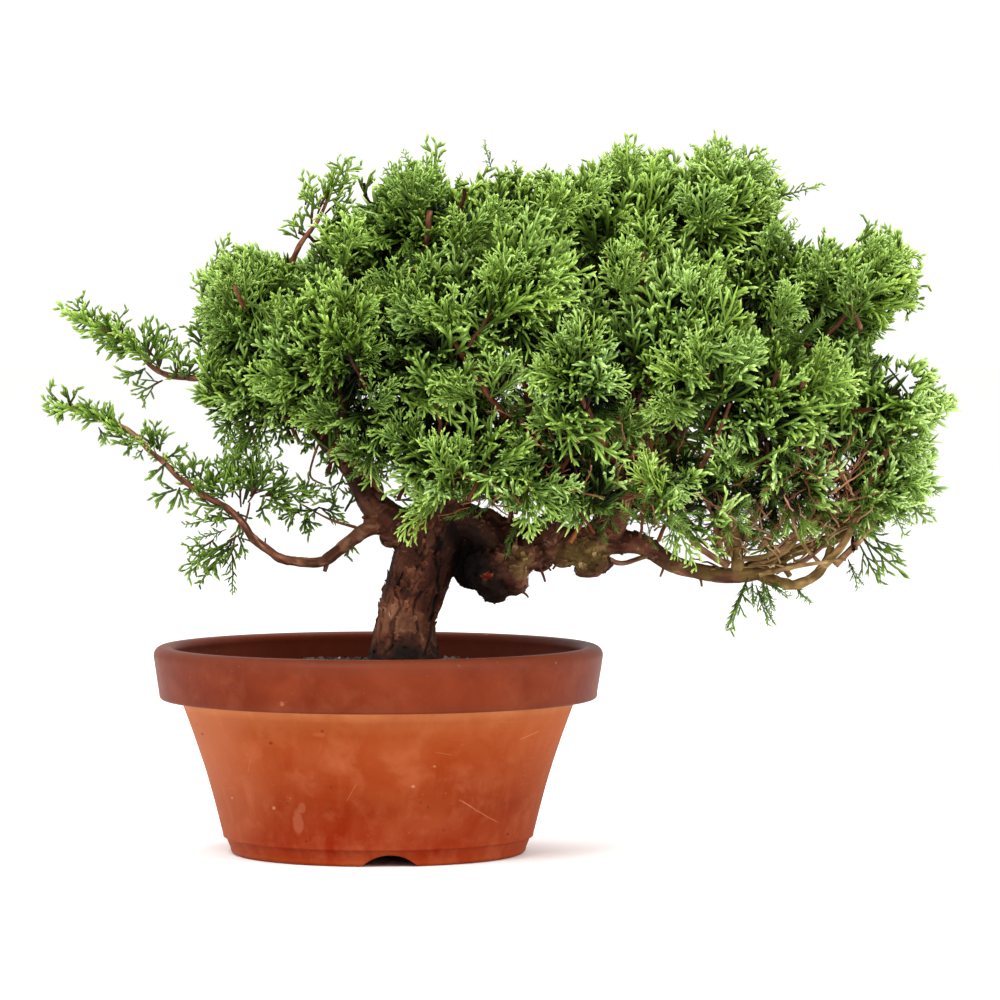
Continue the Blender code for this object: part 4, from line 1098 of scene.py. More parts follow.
# Upright and drooping long sprays and thin shoots on the outline
for x0, z0, x1, z1, depth in [
    (-87.5, 299.3, -93.4, 314.7, -8), (273, 185.7, 280.5, 167, -14), (282.6, 188.3, 294.3, 173.4, -10),
    (262.3, 287, 269.8, 277.9, -8), (157.8, 360.1, 156.7, 377.1, 2), (180.2, 364.3, 183.4, 384.6, 0),
    (-20.3, 350.5, -14.5, 370.7, -16), (-38.5, 345.1, -34.2, 364.3, -18), (-7.5, 349.4, -1.7, 365.4, -10),
    (260.2, 291.8, 267.1, 276.9, -6), (263.4, 288.6, 268.7, 281.1, -10), (278.3, 192.6, 286.9, 174.5, -14),
    (281.5, 194.7, 294.3, 179.8, -12), (276.2, 188.3, 282.6, 173.4, -14), (284.7, 192.6, 292.2, 181.9, -10),
    (29.8, 359, 33, 382.5, 0), (21.3, 357.9, 12.7, 375, -8), (60.7, 363.3, 54.3, 380.3, 4),
    (129, 363.3, 133.3, 385.7, 6), (171.7, 361.1, 183.4, 381.4, -4), (190.3, 363.3, 210.1, 373.9, 6),
    (214.3, 349.4, 239.9, 355.3, 0), (118.3, 360.1, 121.5, 373.9, 10), (150.3, 359, 154.6, 375, 0),
    (251.7, 321.7, 267.7, 337.7, 4), (267.7, 315.3, 289, 320.6, -6), (273, 300.3, 290.1, 289.7, -2),
    (294.3, 247, 310.3, 239.5, -8), (289, 204.3, 300.7, 192.6, -6), (-87, 315.3, -74.7, 328.1, -8),
    (-92.3, 295, -97.1, 312.1, -10), (89, 353.7, 92.7, 367.5, 6), (-41.7, 327, -53.4, 333.4, -20),
    (-40.1, 329.7, -41.7, 345.1, -22), (-35.3, 335, -33.1, 357.9, -20), (-32.1, 340.3, -23, 367, -18),
    (-29.9, 345.7, -10.7, 370.7, -20), (-28.3, 340.3, -15, 352.6, -16), (-25.7, 335, -11.8, 345.7, -20),
    (-38.5, 331.3, -49.1, 339.8, -18), (-33.1, 343, -37.4, 355.8, -24), (-28.9, 348.3, -19.3, 363.3, -16),
    (281, 303, 291.7, 315.3, 4), (278.3, 311, 290.1, 295, 0), (273, 315.3, 281.5, 288.6, 2),
    (113, 361.1, 110.9, 370.7, -10), (41, 353.7, 44.7, 363.3, -12), (75.7, 357.9, 73.5, 369.7, -6),
    (97, 355.8, 103.4, 366.5, 2), (241, 321.7, 236.7, 333.4, -4),
]:
    a, b = in_view(x0, z0, depth), in_view(x1, z1, depth + rng.normal(0, 4))
    stout = x0 > 10 and np.linalg.norm(b - a) > 10
    put_between(pad_at(b), NARROW if stout and rng.random() < 0.55 else FINE_SPRAYS, a, b, tone=0.06, hue=0.08)
# Needle growth low in the middle and about the burls
for x0, z0, x1, z1, depth in [
    (84.2, 235.3, 71.4, 250.2, -44), (65, 233.1, 75.7, 249.1, -40), (77.8, 228.9, 73.5, 253.4, -34),
    (68.2, 239.5, 78.9, 243.8, -48), (154.6, 185.1, 143.9, 171.3, -30), (148.2, 188.3, 140.7, 174.5, -26),
    (86.3, 220.3, 97, 204.3, -64), (97, 225.7, 118.3, 215, -66), (107.7, 209.7, 118.3, 199, -60),
    (65, 188.3, 49, 180.3, -50), (54.3, 185.7, 41, 175, -44), (118.3, 188.3, 134.3, 177.7, -40),
    (129, 188.3, 118.3, 172.3, -36), (139.7, 193.7, 150.3, 177.7, -42), (97, 188.3, 86.3, 172.3, -46),
    (22.3, 204.3, 1, 209.7, -56), (1, 215, -15, 204.3, -56), (171.7, 215, 182.3, 199, -60),
    (225, 220.3, 241, 215, -56), (225, 204.3, 246.3, 199, -46), (209, 220.3, 219.7, 231, -60),
    (193, 188.3, 182.3, 177.7, -44), (251.7, 188.3, 267.7, 177.7, -30), (241, 204.3, 257, 215, -40),
    (150.3, 177.7, 166.3, 167, -36), (-15, 220.3, -31, 212.3, -60), (161, 183, 171.7, 167, -40),
    (214.3, 188.3, 225, 199, -40), (235.7, 177.7, 251.7, 188.3, -30), (171.7, 188.3, 166.3, 204.3, -50),
    (203.7, 177.7, 193, 193.7, -40), (139.7, 172.3, 150.3, 161.7, -30), (113, 177.7, 123.7, 164.3, -30),
    (75.7, 177.7, 67.7, 164.3, -34),
]:
    a, b = in_view(x0, z0, depth), in_view(x1, z1, depth + rng.normal(0, 4))
    put_between(pad_at(b), NEEDLES, a, b, tone=0.06, hue=-0.02)
    put_between(pad_at(b), NEEDLES, a, b + rng.normal(0, 5, 3), tone=0.0, hue=-0.02)

# Sprays along the rim of the outline
edge = np.concatenate([OUTLINE, OUTLINE[:1]])
for a, b in zip(edge[:-1], edge[1:]):
    length = np.linalg.norm(b - a)
    normal = np.array([-(b - a)[1], (b - a)[0]]) / length
    for k in range(int(length / 13.0 + rng.random())):
        q = a + (b - a) * rng.random()
        if outside((q + normal * 3)[None])[0][0] < 0:
            normal = -normal
        if normal[1] < -0.75 and rng.random() < 0.5:
            continue
        d = unit(np.array([normal[0], rng.normal(0, 0.35), normal[1] + 0.45]) + rng.normal(0, 0.18, 3))
        tip = in_view(*(q - normal * rng.uniform(-1.0, 4.0)), rng.uniform(-26, 22))
        size = rng.uniform(0.7, 1.0)
        put = SPRAYS if rng.random() < 0.6 else FINE_SPRAYS
        start = tip - d * 36 * size
        # Painted light: rim sprays that point up are made lighter.
        put_between(pad_at(start), put, start, tip, tone=0.02 + 0.05 * d[2] + rng.normal(0, 0.04), hue=0.04,
                    spin=rng.uniform(-1.2, 1.2), trim=trimmed)

# A few sprays where the growth would be thin
for x0, z0, x1, z1, depth in [
    (-135.5, 220.3, -148.3, 232.1, -36), (-136.6, 221.4, -149.4, 222.5, -34), (-132.3, 217.1, -143, 219.8, -38),
    (-99.3, 195.8, -108.3, 198.5, -38), (-97.1, 192.6, -107.3, 191, -36), (-22.5, 185.1, -32.6, 191.5, -22),
    (-21.4, 340.9, -13.9, 354.2, -14), (286.3, 196.9, 299.7, 188.9, -10), (56.5, 228.9, 65, 248.1, -46),
    (71.4, 231, 62.9, 245.9, -52), (281, 188.3, 290.1, 181.9, -12),
]:
    a, b = in_view(x0, z0, depth), in_view(x1, z1, depth + rng.normal(0, 3))
    node = "foliage_left_tip" if x0 < -100 else "foliage_left_hanging" if z0 < 200 and x0 < 0 else pad_at(b)
    put_between(node, FINE_SPRAYS if x0 < 0 else SPRAYS, a, b, tone=-0.03, hue=0.0)

pieces = []
for name, build in builders.items():
    if not build.parts:
        continue
    for piece in build.build():
        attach(piece, "root")
        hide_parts(name)
        pieces.append(piece)
print("biggest piece", max(len(p.data.polygons) for p in pieces), "of", len(pieces))
print("foliage quads", sum(len(p.data.polygons) for p in pieces))


# --------------------------------------------------------------------- wood
TRUNK = [(13, 0, 80, 14), (13, 0, 90, 18.5), (14, 0, 101, 19.5), (14, 0, 110, 17.6), (15, 0, 124, 15.6),
         (20, 0, 141, 16.4), (26, 0, 161, 17.5), (31, 0, 176, 16), (35, 2, 187, 13.5)]
ROOTS = [
    [(8, 0, 99, 9), (-8, -6, 94, 7), (-20, -11, 86, 4.5), (-27, -14, 80, 2.5)],
    [(18, -4, 99, 9), (28, -14, 94, 7), (35, -24, 87, 4.5), (39, -31, 81, 2.5)],
    [(18, 4, 99, 9), (30, 12, 95, 7), (43, 19, 88, 4.5), (51, 24, 82, 2.5)],
    [(11, 5, 99, 9), (2, 17, 94, 7), (-5, 29, 87, 4.5), (-9, 37, 81, 2.5)],
]
BURLS = [(62, -8, 151, 17.5, 16.0, 16.0), (80, -8, 161, 12, 12, 11), (109, -10, 163, 12.6, 11.5, 10.4)]
LIMBS = {
    "leader": [(34, 2, 185, 12.5), (39, 8, 204, 11), (49, 14, 225, 9.5), (54, 18, 247, 8), (53, 16, 271, 6.5),
               (60, 10, 295, 5), (68, 8, 319, 3.5), (73, 6, 337, 2.2)],
    "left_limb": [(24, 0, 168, 12), (13, -2, 173, 10), (-2, -6, 186, 7.6), (-13, -10, 205, 6.2), (-25, -14, 218, 5),
                  (-36, -16, 234, 4), (-49, -18, 255, 3), (-61, -18, 274, 2.0)],
    "arch": [(29, 0, 178, 10), (46, -4, 178, 9), (57, -7, 171, 8.5), (63, -8, 160, 8.5), (65, -8, 150, 8)],
    "burl_limb": [(66, -8, 151, 9), (82, -8, 160, 9), (97, -9, 165, 8.5), (112, -10, 164.5, 8), (128, -10, 169, 6)],
    "right_limb": [(119, -10, 166, 7), (135, -11, 166, 6), (143, -12, 163.5, 5.3), (155, -14, 155.5, 4.8),
                   (168, -16, 151.3, 4.5), (183, -17, 148.8, 4.2), (194, -18, 148.8, 4), (205, -18, 151, 3.6),
                   (216, -18, 155, 3)],
    "right_lower": [(203, -18, 149, 3.2), (213, -21, 145, 3.0), (222, -23, 144, 2.8), (232, -25, 149, 2.6),
                    (237, -25, 157, 2.4), (241, -24, 165, 2.0)],
    "right_outer": [(188, -17, 148, 3.6), (198, -12, 153, 3.6), (211, -9, 157, 3.5), (223, -7, 161, 3.4),
                    (234, -6, 164, 3.3), (244, -6, 169, 3.2), (251, -6, 177, 3.0), (252, -6, 190, 2.8),
                    (256, -6, 204, 2.4), (266, -6, 216, 2.0), (278, -6, 225, 1.7), (289, -6, 232, 1.4)],
    "right_upright": [(191, -17, 148, 3.4), (190, -22, 165, 3.5), (185, -26, 185, 3.3), (181, -30, 202, 3.0),
                      (179, -34, 219, 2.6), (177, -40, 237, 2.0)],
    "lower_left": [(7, -4, 176, 5), (-5, -10, 173, 4), (-18, -16, 164, 3.2), (-28, -20, 157, 2.8),
                   (-42, -24, 157, 2.5), (-54, -27, 160, 2.4), (-65, -30, 168, 2.2), (-71, -32, 178, 2.0),
                   (-78, -34, 185, 1.8), (-89, -36, 191, 1.7), (-102, -38, 200, 1.6), (-111, -38, 209, 1.5),
                   (-122, -38, 218, 1.4), (-133, -36, 227, 1.2),
                   (-150, -36, 234, 0.9), (-168, -36, 240, 0.6)],
    "upper_left_twig": [(-49, -18, 255, 2.8), (-69, -19, 254, 2.3), (-89, -20, 253, 1.9), (-101, -22, 253, 1.7),
                        (-111, -24, 255, 1.6), (-120, -25, 260, 1.4), (-127, -26, 267, 1.1),
                        (-142, -26, 277, 0.9), (-160, -26, 286, 0.6)],
    "left_high": [(49, 14, 224, 7), (33, 20, 244, 5.5), (16, 18, 268, 4.5), (-2, 10, 295, 3.6), (-18, 2, 319, 2.6),
                  (-26, -2, 335, 1.8)],
    "crown_left": [(53, 18, 249, 5.5), (41, 6, 276, 4.2), (28, -6, 300, 3.2), (18, -10, 322, 2.2)],
    "crown_right": [(54, 18, 244, 7), (76, 12, 260, 5.5), (98, 4, 284, 4.5), (114, 0, 308, 3.5), (121, -2, 327, 2.2)],
    "right_high": [(110, -9, 162, 8), (130, 6, 185, 6.5), (148, 16, 209, 5.5), (167, 20, 236, 4.8),
                   (185, 16, 267, 4), (194, 8, 300, 3), (191, 4, 327, 2)],
    "right_shoulder": [(172, 20, 242, 4.4), (196, 16, 260, 3.8), (221, 6, 279, 3.2), (245, 0, 297, 2.4),
                       (261, -4, 308, 1.6)],
    "back_left": [(45, 14, 217, 6.5), (30, 42, 238, 5), (13, 66, 259, 3.8), (-5, 84, 278, 2.4)],
    "back_mid": [(52, 18, 239, 6), (60, 50, 262, 4.6), (72, 76, 289, 3.4), (81, 88, 311, 2.2)],
    "back_right": [(144, 13, 204, 5), (162, 46, 227, 4.2), (183, 70, 254, 3.4), (203, 86, 278, 2.2)],
    "back_low": [(114, -6, 166, 6), (129, 34, 187, 4.6), (141, 62, 206, 3.4), (157, 84, 223, 2.2)],
    "back_outer": [(196, 16, 260, 3.6), (214, 36, 256, 3.0), (232, 54, 254, 2.2)],
    "front_left": [(-15, -10, 205, 5), (-15, -34, 221, 4), (-18, -54, 240, 3), (-22, -66, 256, 2)],
    "front_mid_left": [(39, 6, 204, 6), (41, -22, 221, 4.8), (45, -46, 240, 3.8), (40, -62, 263, 3), (38, -72, 279, 2)],
    "front_mid": [(89, -8, 163, 6), (95, -28, 187, 4.6), (90, -46, 210, 3.8), (81, -62, 234, 2.8), (76, -72, 262, 2)],
    "front_right": [(124, -10, 168, 5.5), (131, -34, 190, 4.2), (126, -52, 207, 3.6), (116, -64, 227, 3),
                    (108, -72, 246, 2)],
    "front_far_right": [(167, 20, 235, 4.2), (171, -16, 252, 3.6), (170, -44, 266, 2.8), (164, -62, 280, 2)],
}


def dense_route(points, step=1.6):
    """A smooth, closely divided curve through a route: points, radii and distance along it."""
    pts = np.array([p[:3] for p in points], float)
    rad = np.array([p[3] for p in points], float)
    pts = np.concatenate([[2 * pts[0] - pts[1]], pts, [2 * pts[-1] - pts[-2]]])
    P, R = [], []
    for i in range(len(rad) - 1):
        a, b, c, d = pts[i : i + 4]
        count = max(2, int(np.linalg.norm(c - b) / step))
        t = (np.arange(count) / count)[:, None]
        P.append(0.5 * (2 * b + (c - a) * t + (2 * a - 5 * b + 4 * c - d) * t**2 + (3 * b - a - 3 * c + d) * t**3))
        R.append(rad[i] + (rad[i + 1] - rad[i]) * t[:, 0])
    P = np.concatenate(P + [pts[-2][None]])
    R = np.concatenate(R + [rad[-1:]])
    s = np.concatenate([[0], np.cumsum(np.linalg.norm(np.diff(P, axis=0), axis=1))])
    return P, R, s


def carried_frames(P):
    """Tangents, and two side vectors that don't twist along the curve."""
    T = unit(np.gradient(P, axis=0))
    A = np.empty_like(T)
    first = np.array([0, 1.0, 0]) if abs(T[0, 1]) < 0.9 else np.array([1.0, 0, 0])
    A[0] = unit(first - T[0] * np.dot(first, T[0]))
    for k in range(1, len(T)):
        A[k] = unit(A[k - 1] - T[k] * np.dot(A[k - 1], T[k]))
    return T, A, np.cross(T, A)


def ring_tube(P, R, A, B, sides, closed=True):
    """Vertices and quads of a tube of any section radii R (K x sides) or (K)."""
    K = len(P)
    ang = np.arange(sides) * 2 * math.pi / sides
    R = np.broadcast_to(R[:, None] if R.ndim == 1 else R, (K, sides))
    ring = P[:, None] + R[..., None] * (np.cos(ang)[None, :, None] * A[:, None] + np.sin(ang)[None, :, None] * B[:, None])
    k = (np.arange(K - 1) * sides)[:, None]
    j = np.arange(sides)[None]
    j2 = ((np.arange(sides) + 1) % sides)[None]
    quads = np.stack([k + j, k + j2, k + sides + j2, k + sides + j], -1).reshape(-1, 4)
    if closed:
        for start, flip in ((0, True), ((K - 1) * sides, False)):
            for c in range(sides // 2 - 1):
                q = [start + c, start + c + 1, start + sides - 2 - c, start + sides - 1 - c]
                quads = np.concatenate([quads, [q[::-1] if flip else q]])
    return ring.reshape(-1, 3), quads


CORE = [("trunk", TRUNK)] + [(f"root_{i}", r) for i, r in enumerate(ROOTS)] + [
    (n, LIMBS[n]) for n in ("arch", "burl_limb")
] + [
    ("left_limb", LIMBS["left_limb"][:6]), ("leader", LIMBS["leader"][:5]), ("right_limb", LIMBS["right_limb"]),
    ("right_high", LIMBS["right_high"][:4]), ("front_mid", LIMBS["front_mid"][:3]),
    ("front_right", LIMBS["front_right"][:3]), ("back_low", LIMBS["back_low"][:2]),
    ("lower_left", LIMBS["lower_left"][:4]), ("front_mid_left", LIMBS["front_mid_left"][:2]),
]
# Small knobs and stubs on the old wood: centre and half sizes
KNOBS = [
    (50, 4, 157, 12, 7, 17), (52, 5, 168, 12, 7, 12),
    (72, -2, 170, 11, 8, 9), (90, -4, 173, 10, 8, 7), (58, 0, 176, 10, 7, 7),
    (70, -19, 150, 9, 6, 9), (72, -14, 145, 8, 7, 7), (62, -12, 141, 8, 8, 8), (56, -9, 147, 7, 7, 8),
    (92, -14, 166, 8, 7, 7), (99, -13, 158, 7, 6, 6), (103, -18, 163, 6, 5, 7), (118, -14, 155, 7, 7, 6),
    (112, -8, 152, 8, 8, 5), (98, -6, 170, 8, 8, 6), (86, 2, 158, 8, 8, 8), (62, 6, 150, 14, 9, 13),
    (26, -12, 176, 8, 6, 8), (8, -4, 168, 7, 6, 6), (40, -6, 186, 7, 6, 7), (-3, -8, 178, 5, 5, 5),
]


def core_wood():
    """Old wood as one blended surface: the union of its routes, rounded where they meet."""
    verts, quads, at = [], [], 0
    for name, route in CORE:
        P, R, s = dense_route(route, 2.5)
        if name == "trunk":
            R = R * 0.985
        T, A, B = carried_frames(P)
        ends = np.concatenate([[P[0] - T[0] * 0.2], P, [P[-1] + T[-1] * R[-1] * 0.35]])
        rr = np.concatenate([[R[0] * 0.9], R, [R[-1] * 0.6]])
        AA, BB = np.concatenate([A[:1], A, A[-1:]]), np.concatenate([B[:1], B, B[-1:]])
        v, q = ring_tube(ends, rr, AA, BB, 20)
        verts.append(v)
        quads.append(q + at)
        at += len(v)
    for x, y, z, rx, ry, rz in BURLS + KNOBS:
        a = np.arange(24) * 2 * math.pi / 24
        lat = np.linspace(-math.pi / 2 * 0.96, math.pi / 2 * 0.96, 15)
        P = np.stack([0 * lat + x, 0 * lat + y, z + rz * np.sin(lat)], -1)
        d = np.stack([np.cos(lat)[:, None] * np.cos(a), np.cos(lat)[:, None] * np.sin(a), np.sin(lat)[:, None] + 0 * a], -1)
        lump = 1 + 0.16 * noise3((d * 1.7 + np.array([x, y, z])).reshape(-1, 3), 9).reshape(15, 24)
        ring = np.array([x, y, z]) + d * np.array([rx, ry, rz]) * 0.97 * lump[..., None]
        K, sides = 15, 24
        k = (np.arange(K - 1) * sides)[:, None]
        j = np.arange(sides)[None]
        j2 = ((np.arange(sides) + 1) % sides)[None]
        q = np.stack([k + j, k + j2, k + sides + j2, k + sides + j], -1).reshape(-1, 4)
        for start, flip in ((0, True), ((K - 1) * sides, False)):
            for c in range(sides // 2 - 1):
                one = [start + c, start + c + 1, start + sides - 2 - c, start + sides - 1 - c]
                q = np.concatenate([q, [one[::-1] if flip else one]])
        verts.append(ring.reshape(-1, 3))
        quads.append(q + at)
        at += len(verts[-1])
    rough = make_mesh("old_wood_rough", np.concatenate(verts), np.concatenate(quads))
    mod = rough.modifiers.new("union", "REMESH")
    mod.mode = "VOXEL"
    mod.voxel_size = 0.00091
    mod.use_smooth_shade = True
    mod = rough.modifiers.new("blend", "SMOOTH")
    mod.factor = 0.5
    mod.iterations = 5
    bpy.context.view_layer.update()
    deps = bpy.context.evaluated_depsgraph_get()
    mesh = bpy.data.meshes.new_from_object(rough.evaluated_get(deps), depsgraph=deps)
    bpy.data.objects.remove(rough, do_unlink=True)
    co = np.zeros(len(mesh.vertices) * 3, np.float32)
    mesh.vertices.foreach_get("co", co)
    nor = np.zeros(len(mesh.vertices) * 3, np.float32)
    mesh.vertices.foreach_get("normal", nor)
    loops = np.zeros(len(mesh.loops), np.int32)
    mesh.loops.foreach_get("vertex_index", loops)
    totals = np.zeros(len(mesh.polygons), np.int32)
    mesh.polygons.foreach_get("loop_total", totals)
    assert (totals == 4).all()
    bpy.data.meshes.remove(mesh)
    return (co.reshape(-1, 3).astype(float) - AXIS) / MM, nor.reshape(-1, 3).astype(float), loops.reshape(-1, 4)


def bark(coords, scale):
    """Relief in millimetres and tone of bark at coordinates (two across the limb, one along it)."""
    warp = np.stack([noise3(coords / 7.0, 3), noise3(coords / 7.0, 4), noise3(coords / 7.0, 5)], -1) * 1.8
    c = coords + warp
    long_way = np.array([1.0, 1.0, 0.20])
    plates = fbm(c * long_way / 8.5 / scale, 3, 11)
    crack = 1 - smoothstep(0.0, 0.045, np.abs(plates))
    crack = crack * smoothstep(-0.25, 0.25, noise3(c / 15.0, 17))
    fibre = fbm(c * np.array([1 / 1.3, 1 / 1.3, 1 / 8.0]) / scale, 3, 21)
    flake = noise3(c * np.array([1 / 5.4, 1 / 5.4, 1 / 11.0]) / scale, 27) + 0.30 * noise3(c / 2.0, 28)
    step = smoothstep(0.02, 0.07, flake) * 0.55 + smoothstep(0.34, 0.39, flake) * 0.45
    edge = smoothstep(0.02, 0.09, flake) * (1 - smoothstep(0.09, 0.20, flake))
    edge = edge + smoothstep(0.34, 0.41, flake) * (1 - smoothstep(0.41, 0.50, flake))
    broad = fbm(c / 11.0, 2, 31)
    relief = -0.95 * crack + 0.26 * fibre + 0.60 * step + 0.60 * broad
    tone = 0.49 + 0.20 * broad + 0.13 * fibre + 0.02 * step + 0.18 * edge * smoothstep(-0.1, 0.5, noise3(c / 9.0, 29))
    tone += -0.30 * crack - 0.09 * smoothstep(0.04, -0.10, flake)
    tone += 0.20 * noise3(c * np.array([1 / 10.0, 1 / 10.0, 1 / 24.0]), 41)
    hue = 0.20 + 0.34 * noise3(c * np.array([1 / 12.0, 1 / 12.0, 1 / 34.0]) + 5.0, 43) + 0.12 * flake
    return relief, tone, hue


routes = {n: dense_route(r, 1.6) for n, r in CORE}
route_frames = {n: carried_frames(routes[n][0]) for n in routes}


def limb_coordinates(p):
    """Coordinates across and along the nearest limb, its radius and which it is."""
    best = np.full(len(p), 1e9)
    coords = np.zeros((len(p), 3))
    radius = np.ones(len(p))
    for number, (name, (P, R, s)) in enumerate(routes.items()):
        T, A, B = route_frames[name]
        step = 3 if len(P) > 12 else 1
        idx = np.arange(0, len(P), step)
        for lo in range(0, len(p), 20000):
            q = p[lo : lo + 20000]
            d2 = ((q[:, None] - P[idx][None]) ** 2).sum(-1)
            rel = np.sqrt(d2) - R[idx][None]
            i = rel.argmin(1)
            here = rel[np.arange(len(q)), i]
            better = here < best[lo : lo + 20000]
            k = idx[i]
            v = q - P[k]
            c = np.stack([(v * A[k]).sum(-1), (v * B[k]).sum(-1), s[k] + (v * T[k]).sum(-1)], -1) + 61.0 * number
            sl = slice(lo, lo + len(q))
            best[sl] = np.where(better, here, best[sl])
            coords[sl] = np.where(better[:, None], c, coords[sl])
            radius[sl] = np.where(better, R[k], radius[sl])
    return coords, radius


def spot(p, centre, radius):
    return np.exp(-(((p - np.array(centre, float)) / radius) ** 2).sum(-1))


def wood_uv(p, tone, hue):
    """Painted shade where the old wood lies in shade, painted light on the burls, and where it carries another colour.
    """
    # Painted shade: the hollow beside the big burl is darkened almost to black.
    painted_hollow_shade = np.maximum(spot(p, (54, -14, 160), (10, 16, 12)), 0.9 * spot(p, (58, -12, 140), (13, 30, 9)))
    painted_hollow_shade = np.maximum(painted_hollow_shade, np.clip(1.5 * spot(p, (49, -10, 153), (9, 40, 16)), 0, 1))
    painted_hollow_shade = np.maximum(painted_hollow_shade, 0.8 * spot(p, (48, -4, 152), (8, 14, 10)))
    # Painted light: two spots on the burls, which lie under the foliage, are lifted lighter.
    tone = tone + 0.14 * spot(p, (109, -16, 161), (15, 14, 14)) + 0.10 * spot(p, (80, -20, 160), (9, 12, 11))
    foot = smoothstep(116, 101, p[:, 2] + 3.5 * noise3(p / 6.0, 51)) * (np.hypot(p[:, 0] - 14, p[:, 1]) < 60)
    tone = tone * (1 - 0.88 * np.clip(painted_hollow_shade, 0, 1)) * (1 - 0.72 * foot)
    near = spot(p, (58.5, -23, 149), (3.3, 8, 2.3))
    scar = near + 0.5 * noise3(p / 1.8, 52) * smoothstep(0.03, 0.25, near)
    hue = np.clip(hue, 0.0, 0.55)
    pale = spot(p, (1, -14, 130), (8, 16, 18))  # peeled plate at the left of the trunk
    tone = tone + 0.16 * pale
    hue = hue + 0.34 * pale
    green = np.maximum(spot(p, (109, -18, 159), (14, 14, 11)), 0.6 * spot(p, (76, -24, 156), (9, 12, 12)))
    hue = np.where(green > 0.3, np.maximum(hue, 0.55 + 0.3 * green), hue)
    tan = spot(p, (80, -20, 143), (7, 12, 7))
    tone = tone + 0.22 * tan + 0.10 * green
    outer = smoothstep(126, 150, p[:, 0]) * smoothstep(200, 180, p[:, 2])
    mossy = smoothstep(-0.25, 0.35, noise3(p / 11.0, 53) + 0.4 * (p[:, 2] > 150))
    hue = hue + outer * (0.26 + 0.30 * mossy)
    tone = tone + 0.07 * outer
    tone = np.where(scar > 0.5, 0.46 + 0.4 * noise3(p / 1.3, 3), np.where(scar > 0.36, 0.12, tone))
    hue = np.where(scar > 0.5, 0.985, np.clip(hue, 0.02, 0.90))
    return np.clip(tone, 0.02, 0.98), hue


def wood_material():
    m = Nodes("bark")
    uv = m.new("ShaderNodeUVMap", uv_map="OFBake").outputs["UV"]
    sep = m.new("ShaderNodeSeparateXYZ")
    m.link(uv, sep.inputs[0])
    u, v = sep.outputs["X"], sep.outputs["Y"]
    red = m.ramp(u, [(0.0, srgb(6, 2, 1)), (0.2, srgb(24, 9, 5)), (0.45, srgb(58, 26, 14)), (0.65, srgb(92, 46, 27)),
                     (0.85, srgb(132, 79, 52)), (1.0, srgb(172, 126, 92))])
    grey = m.ramp(u, [(0.0, srgb(8, 4, 3)), (0.2, srgb(32, 18, 12)), (0.45, srgb(70, 42, 29)), (0.65, srgb(110, 72, 52)),
                      (0.85, srgb(147, 108, 82)), (1.0, srgb(183, 150, 120))])
    moss = m.ramp(u, [(0.0, srgb(9, 6, 2)), (0.2, srgb(34, 23, 9)), (0.45, srgb(72, 52, 24)), (0.65, srgb(100, 77, 39)),
                      (0.85, srgb(141, 113, 70)), (1.0, srgb(182, 155, 112))])
    scar = m.ramp(u, [(0.0, srgb(30, 6, 3)), (0.5, srgb(104, 24, 11)), (1.0, srgb(158, 66, 40))])
    colour = m.mix(m.math("DIVIDE", v, 0.5, clamp=True), red, grey)
    colour = m.mix(m.math("MULTIPLY", m.math("SUBTRACT", v, 0.55), 5.0, clamp=True), colour, moss)
    colour = m.mix(m.math("MULTIPLY", m.math("SUBTRACT", v, 0.94), 40.0, clamp=True), colour, scar)
    m.link(colour, m.shader.inputs["Base Color"])
    coord = m.new("ShaderNodeTexCoord").outputs["Object"]
    fine = m.noise(coord, 900.0, 5, 0.65)
    bump = m.new("ShaderNodeBump")
    bump.inputs["Strength"].default_value = 0.5
    bump.inputs["Distance"].default_value = 0.0006
    m.link(fine, bump.inputs["Height"])
    m.link(bump.outputs["Normal"], m.shader.inputs["Normal"])
    m.shader.inputs["Roughness"].default_value = 0.78
    m.shader.inputs["Specular IOR Level"].default_value = 0.14
    return m.mat


BARK = wood_material()
core_v, core_n, core_q = core_wood()
coords, radius = limb_coordinates(core_v)
relief, tone, hue = bark(coords, 1.0)
in_burl = np.zeros(len(core_v))
for x, y, z, rx, ry, rz in BURLS:
    d = np.sqrt((((core_v - np.array([x, y, z])) / np.array([rx, ry, rz])) ** 2).sum(-1))
    in_burl = np.maximum(in_burl, smoothstep(1.25, 0.95, d))
r2, t2, h2 = bark(core_v * np.array([1.0, 1.0, 1.0]) + 300.0, 0.62)
knobbly = 2.3 * fbm(core_v / 6.0, 3, 71)
knobbly = knobbly - 1.3 * np.abs(noise3(core_v / 3.6, 72))
relief = relief * (1 - in_burl) + (0.7 * r2 + knobbly) * in_burl
tone = tone * (1 - in_burl) + (t2 + 0.1 * knobbly) * in_burl
hue = hue * (1 - in_burl) + h2 * in_burl
amount = np.clip(radius / 13.0, 0.18, 1.0)
amount = np.maximum(amount, in_burl)
core_v = core_v + core_n * (relief * amount)[:, None]
split = np.zeros(len(core_v))
for run in ([(13, 150), (10, 140), (11.5, 131), (7.5, 122), (7, 112), (3, 104)], [(34, 170), (31, 156), (33, 143), (29, 131), (28, 119), (24, 106)],
            [(22, 140), (20, 128), (22, 119)]):
    run = np.array(run, float)
    q = core_v[:, ::2] + np.stack([noise3(core_v / 5.0, 91), noise3(core_v / 5.0, 92)], -1) * 1.6
    for a, b in zip(run[:-1], run[1:]):
        t = np.clip(((q - a) @ (b - a)) / np.sum((b - a) ** 2), 0, 1)
        d = np.linalg.norm(q - a - t[:, None] * (b - a), axis=1)
        split = np.maximum(split, smoothstep(1.0, 0.25, d) * (core_v[:, 1] < -2))
split *= (in_burl < 0.3) & (core_v[:, 0] < 44)
core_v = core_v - core_n * (1.0 * split)[:, None]
tone = tone - 0.30 * split
base_tone = tone.copy()
tone, hue = wood_uv(core_v, tone, hue)
print("old wood", len(core_q))

